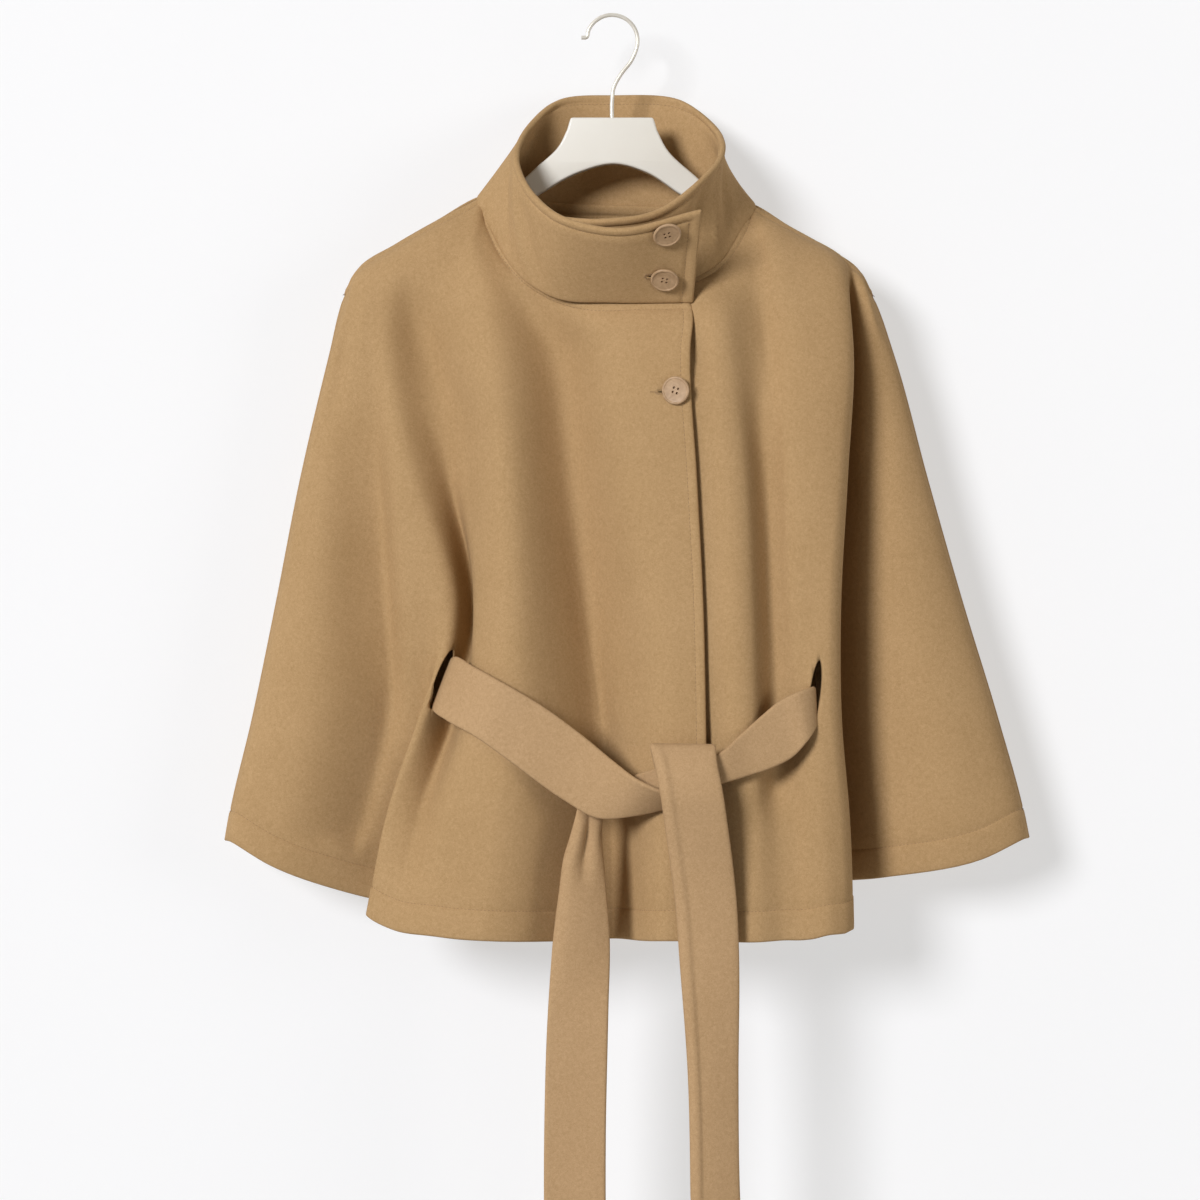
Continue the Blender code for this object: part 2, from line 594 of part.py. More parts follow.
# ---------------------------------------------------------------- the whole
def build():
    clear_scene()
    parts = collection(OBJECT_NAME)
    cutters = collection(OBJECT_NAME + "_cutters")

    wool = material("camel_wool", (0.41, 0.26, 0.12), 0.95)
    horn = material("camel_button", (0.45, 0.29, 0.17), 0.45)
    lacquer = material("hanger_lacquer", (0.82, 0.79, 0.72), 0.4)
    wire = material("hook_lacquer", (0.80, 0.78, 0.73), 0.3, 0.6)

    collar = collar_rows()
    wall("collar", collar, COLLAR_WALL, parts, wool)

    front_right = front_rows(FRONT_RIGHT, OVERARM_RIGHT, SHOULDER_POINT_RIGHT)
    right = wall("cape_front_right", front_right, CLOTH, parts, wool)
    cut_slit(right, SLIT_RIGHT, cutters, "slit_right_cutter")
    front_left = front_rows(FRONT_LEFT, OVERARM_LEFT, SHOULDER_POINT_LEFT)
    left = wall("cape_front_left", front_left, CLOTH, parts, wool)
    cut_slit(left, SLIT_LEFT, cutters, "slit_left_cutter")
    wall("cape_back", back_rows(), CLOTH, parts, wool)

    band("belt_band_right", BAND_RIGHT, parts, wool)
    band("belt_band_left", BAND_LEFT, parts, wool)
    band("belt_back", BELT_BACK, parts, wool, trim=BELT_JOIN)
    band("belt_loop", BELT_LOOP, parts, wool)
    band("belt_tail", BELT_TAIL, parts, wool)

    on_collar = COLLAR_WALL + COLLAR_CLEAR
    button("button_collar_top", collar, BUTTON_COLLAR_TOP, on_collar, parts, horn, cutters)
    button("button_collar_low", collar, BUTTON_COLLAR_LOW, on_collar, parts, horn, cutters)
    button("button_front", front_right, BUTTON_FRONT, CLOTH + FRONT_CLEAR, parts, horn, cutters)

    hanger_body(parts, lacquer)
    hanger_hook(parts, wire)


build()
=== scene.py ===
"""A belted camel wool cape hanging on its hanger, dressed piece by piece over its solids.

Tables are in millimetres, in the garment's own frame: the inner top of the hook's bow is the
origin, +X is the viewer's right, -Y is towards the viewer, +Z is up.
"""
from collections import namedtuple
from math import cos, pi, radians, sin

import bmesh
import bpy
import numpy as np
from mathutils import Matrix, Vector


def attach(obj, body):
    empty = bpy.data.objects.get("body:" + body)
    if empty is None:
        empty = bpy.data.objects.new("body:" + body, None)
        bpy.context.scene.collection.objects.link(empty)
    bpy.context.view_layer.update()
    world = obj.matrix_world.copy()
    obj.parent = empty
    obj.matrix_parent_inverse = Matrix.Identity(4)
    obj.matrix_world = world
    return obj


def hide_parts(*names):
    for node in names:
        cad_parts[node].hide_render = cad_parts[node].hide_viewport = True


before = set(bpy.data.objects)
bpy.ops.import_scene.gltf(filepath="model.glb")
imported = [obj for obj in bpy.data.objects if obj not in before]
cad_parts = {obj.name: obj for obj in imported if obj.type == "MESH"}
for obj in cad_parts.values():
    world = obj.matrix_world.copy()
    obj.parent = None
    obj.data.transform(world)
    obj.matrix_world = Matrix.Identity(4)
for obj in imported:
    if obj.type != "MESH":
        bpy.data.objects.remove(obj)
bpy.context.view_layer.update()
MM = 0.001


# ---------------------------------------------------------------- the room
# A pale wall a little behind the cape and a pale floor below the belt's ends, with one large
# soft light from the upper left and weaker ones from either side.
# The wall is clear from behind, so that the cape's back can be looked at through it.
CAMERA_PLACE = (-9.6, -3200, -466.4)
CAMERA_LENS = 120
WALL_BEHIND = 58
FLOOR_BELOW = 1090
ROOM_SIZE = 9000
WALL_GLOW = 0.53              # the wall is lit by a light of its own too
LIGHTS_AIM = (0, 0, -0.45)    # metres: the middle of the cape
WORLD_COLOUR = (1, 0.82, 0.58, 1)
WALL_COLOUR = (0.38, 0.38, 0.38, 1)

camera_data = bpy.data.cameras.new("camera")
camera_data.lens = CAMERA_LENS
camera_data.sensor_width = 36
camera = bpy.data.objects.new("camera", camera_data)
camera.location = Vector(CAMERA_PLACE) * MM
camera.rotation_euler = (radians(90), 0, 0)
bpy.context.scene.collection.objects.link(camera)
bpy.context.scene.camera = camera


def soft_light(name, azimuth, height, distance, size, power, colour):
    """A round softbox: azimuth 0 is the camera's side and 90 is to the right."""
    data = bpy.data.lights.new(name, "AREA")
    data.shape = "DISK"
    data.size = size
    data.energy = power
    data.color = colour
    light = bpy.data.objects.new(name, data)
    level = cos(radians(height)) * distance
    away = Vector((sin(radians(azimuth)) * level, -cos(radians(azimuth)) * level,
                   sin(radians(height)) * distance))
    light.location = Vector(LIGHTS_AIM) + away
    light.rotation_euler = (-away).to_track_quat("-Z", "Y").to_euler()
    bpy.context.scene.collection.objects.link(light)


soft_light("key_light", -32, 16, 14.0, 4.4, 1860, (0.985, 0.995, 1.04))
soft_light("side_light", -64, 34, 5.0, 2.0, 14, (1.0, 1.0, 1.0))
soft_light("fill_light", 52, 4, 5.0, 2.4, 50, (1.0, 0.99, 0.97))

world = bpy.data.worlds.new("even_light")
world.use_nodes = True
world.node_tree.nodes["Background"].inputs["Color"].default_value = WORLD_COLOUR
world.node_tree.nodes["Background"].inputs["Strength"].default_value = 0.1
bpy.context.scene.world = world
bpy.context.scene.view_settings.view_transform = "Standard"


def room_surface(name, corners, glow):
    mesh = bpy.data.meshes.new(name)
    mesh.from_pydata([Vector(corner) * MM for corner in corners], [], [(0, 1, 2, 3)])
    surface = bpy.data.objects.new(name, mesh)
    paint = bpy.data.materials.new(name)
    paint.use_nodes = True
    nodes, links = paint.node_tree.nodes, paint.node_tree.links
    shader = nodes["Principled BSDF"]
    shader.inputs["Base Color"].default_value = WALL_COLOUR
    shader.inputs["Emission Color"].default_value = (1, 1, 1, 1)
    shader.inputs["Emission Strength"].default_value = glow
    shader.inputs["Roughness"].default_value = 0.9
    shader.inputs["Specular IOR Level"].default_value = 0.1
    clear = nodes.new("ShaderNodeBsdfTransparent")
    side = nodes.new("ShaderNodeNewGeometry")
    mix = nodes.new("ShaderNodeMixShader")
    links.new(side.outputs["Backfacing"], mix.inputs[0])
    links.new(shader.outputs[0], mix.inputs[1])
    links.new(clear.outputs[0], mix.inputs[2])
    links.new(mix.outputs[0], nodes["Material Output"].inputs["Surface"])
    mesh.materials.append(paint)
    bpy.context.scene.collection.objects.link(surface)


room_surface("wall", ((-ROOM_SIZE, WALL_BEHIND, -FLOOR_BELOW), (ROOM_SIZE, WALL_BEHIND, -FLOOR_BELOW),
                      (ROOM_SIZE, WALL_BEHIND, ROOM_SIZE), (-ROOM_SIZE, WALL_BEHIND, ROOM_SIZE)),
             WALL_GLOW)
room_surface("floor", ((-ROOM_SIZE, -ROOM_SIZE, -FLOOR_BELOW), (ROOM_SIZE, -ROOM_SIZE, -FLOOR_BELOW),
                       (ROOM_SIZE, ROOM_SIZE, -FLOOR_BELOW), (-ROOM_SIZE, ROOM_SIZE, -FLOOR_BELOW)),
             0)


# ---------------------------------------------------------------- the hanger's body
# A flat board 12 mm thick, sawn to a yoke with a straight top, lacquered cream, with its
# edges rounded over. The cape's shoulders lie along its arms.
HANGER_DEPTH = 12.0
HANGER_EDGE = 1.8
HANGER_STEPS = 8
ROUNDNESS = 0.7               # how round a sharp turn of a curve is made at least
HANGER_TOP = ((-33, -81), (33, -81))
HANGER_ARM_LEFT = ((36, -91), (43, -105), (67, -128), (108, -162.2), (150, -179.6),
                   (187, -200.3), (196.5, -207), (200.5, -216), (197, -225), (187, -227))
HANGER_ARM_RIGHT = ((-36, -91), (-42, -103), (-62, -122), (-101, -157.2), (-171, -187),
                    (-196.5, -201.8), (-205, -212), (-205, -221), (-199, -226), (-190, -226))
HANGER_UNDER_LEFT = ((150, -203), (100, -171), (54, -142), (28, -125), (2, -118))
HANGER_UNDER_RIGHT = ((-150, -201), (-104, -171), (-58, -142), (-27, -125))
LACQUER_DARK, LACQUER_LIGHT = (0.73, 0.70, 0.62, 1), (0.76, 0.735, 0.66, 1)


def even_shares(steps):
    """The starts of some even steps, as shares of an interval."""
    return [step / steps for step in range(steps)]


def smooth(points, spots):
    """Points of a smooth curve through the given ones.

    spots is a number of even steps, or for each interval a list of shares from 0 to 1. The
    tangents are weighted by the distances, so unevenly spaced points don't overshoot."""
    points = np.asarray(points, float)
    count = len(points) - 1
    if isinstance(spots, int):
        spots = [even_shares(spots)] * count
    spans = np.maximum(np.linalg.norm(np.diff(points, axis=0), axis=1), 1e-6)[:, None]
    slopes = np.diff(points, axis=0) / spans
    middle = (slopes[:-1] * spans[1:] + slopes[1:] * spans[:-1]) / (spans[:-1] + spans[1:])
    middle *= np.maximum(1, ROUNDNESS / np.maximum(np.linalg.norm(middle, axis=1), 0.1))[:, None]
    tangents = np.vstack([slopes[:1], middle, slopes[-1:]])
    curve = []
    for i in range(count):
        t = np.asarray(spots[i], float)[:, None]
        curve.append(points[i] * (2 * t**3 - 3 * t**2 + 1)
                     + tangents[i] * spans[i] * (t**3 - 2 * t**2 + t)
                     + points[i + 1] * (3 * t**2 - 2 * t**3)
                     + tangents[i + 1] * spans[i] * (t**3 - t**2))
    return np.vstack(curve + [points[-1:]])


def shown(name, mesh, material, slot, *nodes):
    """Link a finished mesh as a piece of the one body, in place of these solids."""
    piece = bpy.data.objects.new(name, mesh)
    if material is not None:
        mesh.materials.append(material)
    bpy.context.scene.collection.objects.link(piece)
    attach(piece, "root")
    if nodes:
        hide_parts(*nodes)
    return piece


def with_depth(points):
    return [(x, 0, z) for x, z in points]


def mottled(name, dark, light, settings, scale, detail=2, twist=0, low=0, high=1):
    """A finish whose tone drifts between two colours. settings are its shader's own inputs."""
    made = bpy.data.materials.new(name)
    made.use_nodes = True
    nodes, links = made.node_tree.nodes, made.node_tree.links
    shader = nodes["Principled BSDF"]
    for socket, value in settings.items():
        shader.inputs[socket].default_value = value
    spot = nodes.new("ShaderNodeTexCoord")
    cloudy = nodes.new("ShaderNodeTexNoise")
    cloudy.inputs["Scale"].default_value = scale
    cloudy.inputs["Detail"].default_value = detail
    cloudy.inputs["Distortion"].default_value = twist
    ramp = nodes.new("ShaderNodeValToRGB")
    for element, place, colour in zip(ramp.color_ramp.elements, (low, high), (dark, light)):
        element.position = place
        element.color = colour
    links.new(spot.outputs["Object"], cloudy.inputs["Vector"])
    links.new(cloudy.outputs["Fac"], ramp.inputs["Fac"])
    links.new(ramp.outputs["Color"], shader.inputs["Base Color"])
    return made


def made_plain(name, worker):
    """The worker object's evaluated mesh as plain data; the worker itself goes."""
    depsgraph = bpy.context.evaluated_depsgraph_get()
    mesh = bpy.data.meshes.new_from_object(worker.evaluated_get(depsgraph))
    mesh.name = name
    bpy.data.objects.remove(worker, do_unlink=True)
    return mesh


lacquer = mottled("cream_lacquer", LACQUER_DARK, LACQUER_LIGHT,
                  {"Roughness": 0.42, "Coat Weight": 0.15}, 18, detail=4, low=0.3, high=0.7)
nodes, links = lacquer.node_tree.nodes, lacquer.node_tree.links
brushed = nodes.new("ShaderNodeTexNoise")
brushed.inputs["Scale"].default_value = 420
brushed.inputs["Detail"].default_value = 3
relief = nodes.new("ShaderNodeBump")
relief.inputs["Strength"].default_value = 0.08
relief.inputs["Distance"].default_value = 0.0004
links.new(nodes["Texture Coordinate"].outputs["Object"], brushed.inputs["Vector"])
links.new(brushed.outputs["Fac"], relief.inputs["Height"])
links.new(relief.outputs["Normal"], nodes["Principled BSDF"].inputs["Normal"])

arm_left = smooth(with_depth(HANGER_ARM_LEFT), HANGER_STEPS)
arm_right = smooth(with_depth(HANGER_ARM_RIGHT), HANGER_STEPS)
under = smooth(with_depth((HANGER_ARM_LEFT[-1],) + HANGER_UNDER_LEFT
                          + HANGER_UNDER_RIGHT[::-1] + (HANGER_ARM_RIGHT[-1],)), HANGER_STEPS)
outline = np.vstack([np.array(with_depth(HANGER_TOP)), arm_left, under[1:], arm_right[::-1][1:]])
shape = bmesh.new()
corners = [shape.verts.new((x * MM, -HANGER_DEPTH / 2 * MM, z * MM)) for x, _, z in outline]
front = shape.faces.new(corners)
swept = bmesh.ops.extrude_face_region(shape, geom=[front])["geom"]
bmesh.ops.translate(shape, verts=[item for item in swept if isinstance(item, bmesh.types.BMVert)],
                    vec=(0, HANGER_DEPTH * MM, 0))
bmesh.ops.recalc_face_normals(shape, faces=shape.faces)
mesh = bpy.data.meshes.new("hanger_board")
shape.to_mesh(mesh)
shape.free()
worker = bpy.data.objects.new("hanger_worker", mesh)
bpy.context.scene.collection.objects.link(worker)
edge = worker.modifiers.new("rounding", "BEVEL")
edge.width = HANGER_EDGE * MM
edge.segments = 5
edge.limit_method = "ANGLE"
edge.angle_limit = radians(50)
mesh = made_plain("hanger_board", worker)
mesh.shade_smooth()
mesh.set_sharp_from_angle(angle=radians(40))
shown("hanger_board", mesh, lacquer, "hanger", "hanger_body")


# ---------------------------------------------------------------- the hook
# One length of 3.3 mm wire, bent to a round bow and an S and enamelled cream. Its stem is
# screwed into the board's top.
WIRE = 3.3
BOW_RADIUS = 20.5
BOW_START, BOW_END = 172.3, -0.4
BOW_POINTS = 12
HOOK_TIP = (-24.5, 0, -16.5)
HOOK_STEM = ((16, 0, -34), (7, 0, -46), (1.2, 0, -57), (0, 0, -68))
HOOK_FOOT = (0, 0, -82)
ENAMEL_DARK, ENAMEL_LIGHT = (0.64, 0.60, 0.51, 1), (0.78, 0.75, 0.67, 1)

enamel = mottled("cream_enamel", ENAMEL_DARK, ENAMEL_LIGHT,
                 {"Roughness": 0.3, "Metallic": 0.25, "Coat Weight": 0.3}, 160)
bow_centre = WIRE / 2 - BOW_RADIUS
bow = []
for step in range(BOW_POINTS):
    angle = radians(BOW_START + (BOW_END - BOW_START) * step / (BOW_POINTS - 1))
    bow.append((BOW_RADIUS * cos(angle), 0, bow_centre + BOW_RADIUS * sin(angle)))
route = smooth([HOOK_TIP] + bow + list(HOOK_STEM) + [HOOK_FOOT], 5)
curve = bpy.data.curves.new("hook_wire", "CURVE")
curve.dimensions = "3D"
curve.bevel_depth = WIRE / 2 * MM
curve.bevel_resolution = 4
curve.use_fill_caps = True
line = curve.splines.new("POLY")
line.points.add(len(route) - 1)
for point, spot in zip(line.points, route):
    point.co = (*(spot * MM), 1)
worker = bpy.data.objects.new("hook_worker", curve)
bpy.context.scene.collection.objects.link(worker)
mesh = made_plain("hook_wire", worker)
shape = bmesh.new()
shape.from_mesh(mesh)
bmesh.ops.remove_doubles(shape, verts=shape.verts, dist=0.00002)
shape.to_mesh(mesh)
shape.free()
mesh.shade_smooth()
mesh.set_sharp_from_angle(angle=radians(50))
shown("hook_wire", mesh, enamel, "hook", "hanger_hook")


# ---------------------------------------------------------------- the collar
# A deep funnel collar: a straight double band of the wool, 75 to 92 mm high, sewn on. It
# leans forward, wraps right over left in front, and is topstitched round its rim and its end.
CLOTH = 2.4
COLLAR_WALL = 4.4
EDGE_ROUND = 1.7              # how far in from an edge the cloth reaches its full thickness
COLLAR_STITCH = 6.6           # from the rim to the topstitching
END_STITCH = 9.0              # from the end to it
COLLAR_STEPS = 13
COLLAR_ROWS = 12
NECK_AXIS = (3, -15)
RIM_BAND = (0, 0.6, 1.9, 4.6, 5.8, 6.6, 7.4, 9.2)
SEAM_BAND = (0, 0.6, 1.9, 4.5)
END_BAND = (0, 0.6, 1.9, 5.8, 7.9, 9.0, 10.1, 12.4)
CAMEL_DARK, CAMEL_LIGHT = (0.34, 0.211, 0.092, 1), (0.48, 0.312, 0.156, 1)

Ruling = namedtuple("Ruling", "place seam rim hollow")
COLLAR = (
    Ruling("flap_end", (63.5, -63, -233), (69, -108, -164.5), 0),
    Ruling("front", (0, -64, -232.8), (0, -117, -180), 0),
    Ruling("front_bend", (-41, -58, -230), (-40, -105, -169), 0),
    Ruling("crease", (-69, -44, -214), (-62, -82, -149), 1),
    Ruling("side", (-91, -22, -182), (-75, -46, -118), 1),
    Ruling("neck_point_right", (-107, 0, -146), (-61, 6, -81), 1),
    Ruling("back_bend_right", (-60, 29, -147), (-42, 31, -62), 1),
    Ruling("centre_back", (3, 38, -149), (3, 40, -57.5), 0),
    Ruling("back_bend_left", (66, 29, -150), (54, 31, -62), 3),
    Ruling("neck_point_left", (114, 0, -152), (80, 5, -84), 7),
    Ruling("side_left", (101, -22, -176), (87, -42, -112), 7),
    Ruling("crease_left", (81, -45, -203), (68, -79, -139), 4),
    Ruling("under_bend", (39, -53, -222), (30, -100, -166), 0),
    Ruling("under_front", (-9, -54, -226), (-9, -107, -172), 0),
    Ruling("under_end", (-46, -46, -222), (-48, -83, -167), 0),
)


def felted_wool(name, dark, light):
    """Milled coating wool: a matt felted face, mottled by its short fibres, with a soft bloom."""
    made = bpy.data.materials.new(name)
    made.use_nodes = True
    nodes, links = made.node_tree.nodes, made.node_tree.links
    shader = nodes["Principled BSDF"]
    shader.inputs["Roughness"].default_value = 0.95
    shader.inputs["Specular IOR Level"].default_value = 0.08
    shader.inputs["Sheen Weight"].default_value = 0.07
    shader.inputs["Sheen Roughness"].default_value = 0.42
    shader.inputs["Sheen Tint"].default_value = (1.0, 0.8, 0.55, 1)
    spot = nodes.new("ShaderNodeTexCoord")

    def noise(size, detail, rough, twist):
        grain = nodes.new("ShaderNodeTexNoise")
        grain.inputs["Scale"].default_value = 1 / (size * MM)
        grain.inputs["Detail"].default_value = detail
        grain.inputs["Roughness"].default_value = rough
        grain.inputs["Distortion"].default_value = twist
        links.new(spot.outputs["Object"], grain.inputs["Vector"])
        return grain.outputs["Fac"]

    def weighed(first, second, share):
        mix = nodes.new("ShaderNodeMix")
        mix.inputs[0].default_value = share
        links.new(first, mix.inputs[2])
        links.new(second, mix.inputs[3])
        return mix.outputs[0]

    fibres = noise(0.8, 3, 0.65, 2.2)
    tufts = noise(2.6, 4, 0.6, 0.8)
    clouds = noise(55, 3, 0.5, 0.0)
    mottled = weighed(weighed(fibres, tufts, 0.34), clouds, 0.1)
    ramp = nodes.new("ShaderNodeValToRGB")
    ramp.color_ramp.elements[0].position = 0.38
    ramp.color_ramp.elements[0].color = dark
    ramp.color_ramp.elements[1].position = 0.62
    ramp.color_ramp.elements[1].color = light
    links.new(mottled, ramp.inputs["Fac"])
    links.new(ramp.outputs["Color"], shader.inputs["Base Color"])
    bump = nodes.new("ShaderNodeBump")
    bump.inputs["Strength"].default_value = 0.45
    bump.inputs["Distance"].default_value = 0.0005
    links.new(weighed(fibres, tufts, 0.35), bump.inputs["Height"])
    links.new(bump.outputs["Normal"], shader.inputs["Normal"])
    return made


def banded(length, near_start, steps, near_end=(0,)):
    """Shares of an interval: at these distances from its start, evenly, and from its end."""
    start = np.array(near_start) / length
    end = 1 - np.array(near_end[::-1]) / length
    inner = np.linspace(start[-1], end[0], steps + 1)[1:-1]
    return np.concatenate([start, inner, end[:-1]] if len(near_end) > 1 else [start, inner])


def lengths(grid, axis):
    """How far each point of a grid lies along its own row or column, from the first."""
    steps = np.linalg.norm(np.diff(grid, axis=axis), axis=2)
    first = np.zeros_like(np.take(steps, [0], axis=axis))
    return np.concatenate([first, np.cumsum(steps, axis=axis)], axis=axis)


def normals(grid, axis_point):
    """The cloth's outward direction at each point, away from a vertical line."""
    down = np.gradient(grid, axis=0)
    across = np.gradient(grid, axis=1)
    out = np.cross(down, across)
    out /= np.maximum(np.linalg.norm(out, axis=2, keepdims=True), 1e-9)
    away = grid - np.array([axis_point[0], axis_point[1], 0])
    away[..., 2] = 0
    return out if (out * away).sum() > 0 else -out


def groove(distance, at, width):
    """1 on a stitched line and 0 away from it."""
    return np.exp(-((distance - at) / width) ** 2)


def to_edges(grid):
    """Each point's distance from the nearest edge of its cloth."""
    down, across = lengths(grid, 0), lengths(grid, 1)
    return np.minimum.reduce([down, down[-1:] - down, across, across[:, -1:] - across])


def cloth_mesh(name, grid, half, axis_point):
    """A closed wall of cloth round a grid of points, `half` as thick to each side."""
    rows, columns, _ = grid.shape
    out = normals(grid, axis_point)
    rounding = np.sqrt(1 - (1 - np.clip(to_edges(grid) / EDGE_ROUND, 0, 1)) ** 2)
    lift = out * (half * rounding)[..., None]
    outer, inner = grid + lift, (grid - lift)[1:-1, 1:-1]
    index = np.arange(rows * columns).reshape(rows, columns)
    under = index.copy()
    under[1:-1, 1:-1] = rows * columns + np.arange((rows - 2) * (columns - 2)).reshape(
        rows - 2, columns - 2)
    turned = (np.cross(np.gradient(grid, axis=0), np.gradient(grid, axis=1)) * out).sum() > 0

    def quads(table, flip):
        face = np.stack([table[:-1, :-1], table[1:, :-1], table[1:, 1:], table[:-1, 1:]], axis=-1)
        face = face.reshape(-1, 4)
        return face[:, ::-1] if flip else face

    faces = np.vstack([quads(index, not turned), quads(under, turned)])
    points = np.vstack([outer.reshape(-1, 3), inner.reshape(-1, 3)]) * MM
    mesh = bpy.data.meshes.new(name)
    mesh.from_pydata(points.tolist(), [], faces.tolist())
    across, down = lengths(grid, 1) * MM, lengths(grid, 0) * MM
    flat = np.stack([across, -down], axis=-1)
    flat = np.vstack([flat.reshape(-1, 2), flat[1:-1, 1:-1].reshape(-1, 2)])
    layer = mesh.uv_layers.new(name="cloth")
    layer.data.foreach_set("uv", flat[faces.reshape(-1)].reshape(-1).astype(np.float32))
    mesh.shade_smooth()
    return mesh


# at the seam and at the rim, in rows of COLLAR; reach before and after it, and the push outwards
Bend = namedtuple("Bend", "seam rim before after push")
COLLAR_BENDS = (
    Bend(2.7, 4.0, 2.6, 5.5, 2.6),
    Bend(2.3, 3.55, 9, 9, -1.6),
    Bend(3.4, 4.6, 9, 9, -2.0),
    Bend(11.05, 10.1, 2.6, 4.0, 3.2),
    Bend(11.6, 10.85, 8, 8, -6.0),
    Bend(10.4, 9.5, 9, 9, -3.0),
)


def collar_grid():
    rows = []
    seam_line = [ruling.seam for ruling in COLLAR]
    rim_line = [ruling.rim for ruling in COLLAR]
    spans = np.linalg.norm(np.diff(np.array(seam_line, float), axis=0), axis=1)
    spots = [banded(spans[0], END_BAND, COLLAR_STEPS)]
    spots += [even_shares(COLLAR_STEPS)] * (len(spans) - 2)
    spots += [banded(spans[-1], (0,), COLLAR_STEPS, END_BAND)]
    seam, rim = smooth(seam_line, spots), smooth(rim_line, spots)
    hollow = smooth([(i, ruling.hollow, 0) for i, ruling in enumerate(COLLAR)], spots)[:, 1]
    height = np.linalg.norm(rim - seam, axis=1).mean()
    shares = np.append(banded(height, SEAM_BAND, COLLAR_ROWS, RIM_BAND), 1.0)
    inward = np.array([*NECK_AXIS, 0]) - (seam + rim) / 2
    inward[:, 2] = 0
    inward /= np.linalg.norm(inward, axis=1, keepdims=True)
    for t in shares:
        rows.append(seam + (rim - seam) * t + inward * (hollow * 4 * t * (1 - t))[:, None])
    grid = np.array(rows)
    out, along = normals(grid, NECK_AXIS), lengths(grid, 1)
    place = np.concatenate([(i + np.array(spot)) for i, spot in enumerate(spots)] + [[len(COLLAR) - 1]])
    for bend in COLLAR_BENDS:
        for row, t in enumerate(shares):
            offset = along[row] - np.interp(bend.seam + (bend.rim - bend.seam) * t, place, along[row])
            reach = np.where(offset < 0, bend.before, bend.after)
            fade = sin(pi / 2 * min(t / 0.3, 1)) ** 2 * cos(pi / 2 * max(0, t - 0.55) / 0.5) ** 2
            push = bend.push * np.exp(-(offset / reach) ** 2) * fade
            grid[row] += out[row] * push[:, None]
    return grid


camel = felted_wool("camel_wool", CAMEL_DARK, CAMEL_LIGHT)
collar = collar_grid()
from_seam = lengths(collar, 0)
from_rim = from_seam[-1:] - from_seam
from_end = lengths(collar, 1)
to_end = from_end[:, -1:] - from_end
half = np.full(collar.shape[:2], COLLAR_WALL / 2)
inside_rim = np.minimum.reduce([from_rim, from_end * COLLAR_STITCH / END_STITCH,
                                to_end * COLLAR_STITCH / END_STITCH])
half -= 1.0 * groove(inside_rim, COLLAR_STITCH, 1.0)
half += 0.25 * groove(inside_rim, COLLAR_STITCH / 2, 2.0)
half += 0.2 * groove(inside_rim, COLLAR_STITCH + 4, 2.6)


CUT_SIDES = 40
Slit = namedtuple("Slit", "centre along through")


def cut_through(mesh, slit, width, length, depth):
    """Cut a pointed oval out of the cloth and give the new plain mesh."""
    through = Vector(slit.through).normalized()
    along = (Vector(slit.along) - through * through.dot(Vector(slit.along))).normalized()
    turn = Matrix((along.cross(through), along, through)).transposed().to_4x4()
    shape = bmesh.new()
    bmesh.ops.create_cone(shape, cap_ends=True, segments=CUT_SIDES, radius1=0.5, radius2=0.5,
                          depth=1.0)
    size = Matrix.Diagonal((width * MM, length * MM, depth * MM, 1.0))
    bmesh.ops.transform(shape, verts=shape.verts,
                        matrix=Matrix.Translation(Vector(slit.centre) * MM) @ turn @ size)
    knife_mesh = bpy.data.meshes.new("knife")
    shape.to_mesh(knife_mesh)
    shape.free()
    knife = bpy.data.objects.new("knife", knife_mesh)
    worker = bpy.data.objects.new("cut_worker", mesh)
    for item in (knife, worker):
        bpy.context.scene.collection.objects.link(item)
    cut = worker.modifiers.new("cut", "BOOLEAN")
    cut.operation = "DIFFERENCE"
    cut.object = knife
    result = made_plain(mesh.name, worker)
    bpy.data.objects.remove(knife, do_unlink=True)
    return result


HOLE_WIDTH = 1.3
FLAP_COLUMNS = 36
Buttonhole = namedtuple("Buttonhole", "left right height")
COLLAR_HOLES = (Buttonhole(33.5, 44.5, -183), Buttonhole(27, 44, -214.4))


def on_face(face, x, z):
    """The point of a cloth's face at this place, between its nearest grid points."""
    points = face.reshape(-1, 3)
    gap = (points[:, 0] - x) ** 2 + (points[:, 2] - z) ** 2
    near = np.argsort(gap)[:5]
    share = 1 / (gap[near] + 0.3)
    return np.array([x, (points[near, 1] * share).sum() / share.sum(), z])


def hole_ends(hole, face):
    """The two ends of a buttonhole on the cloth's face."""
    return on_face(face, hole.left, hole.height), on_face(face, hole.right, hole.height)


def holed(mesh, hole, face, depth):
    """The cloth with a buttonhole cut through it."""
    left, right = hole_ends(hole, face)
    along = right - left
    through = np.cross(along, (0, 0, 1))
    cut = Slit((left + right) / 2, along, through)
    return cut_through(mesh, cut, HOLE_WIDTH, np.linalg.norm(along), depth)


collar_mesh = cloth_mesh("collar_cloth", collar, half, NECK_AXIS)
for hole in COLLAR_HOLES:
    collar_mesh = holed(collar_mesh, hole, collar[:, :FLAP_COLUMNS], COLLAR_WALL * 1.5)
collar_piece = shown("collar_cloth", collar_mesh, camel, "wool", "collar")


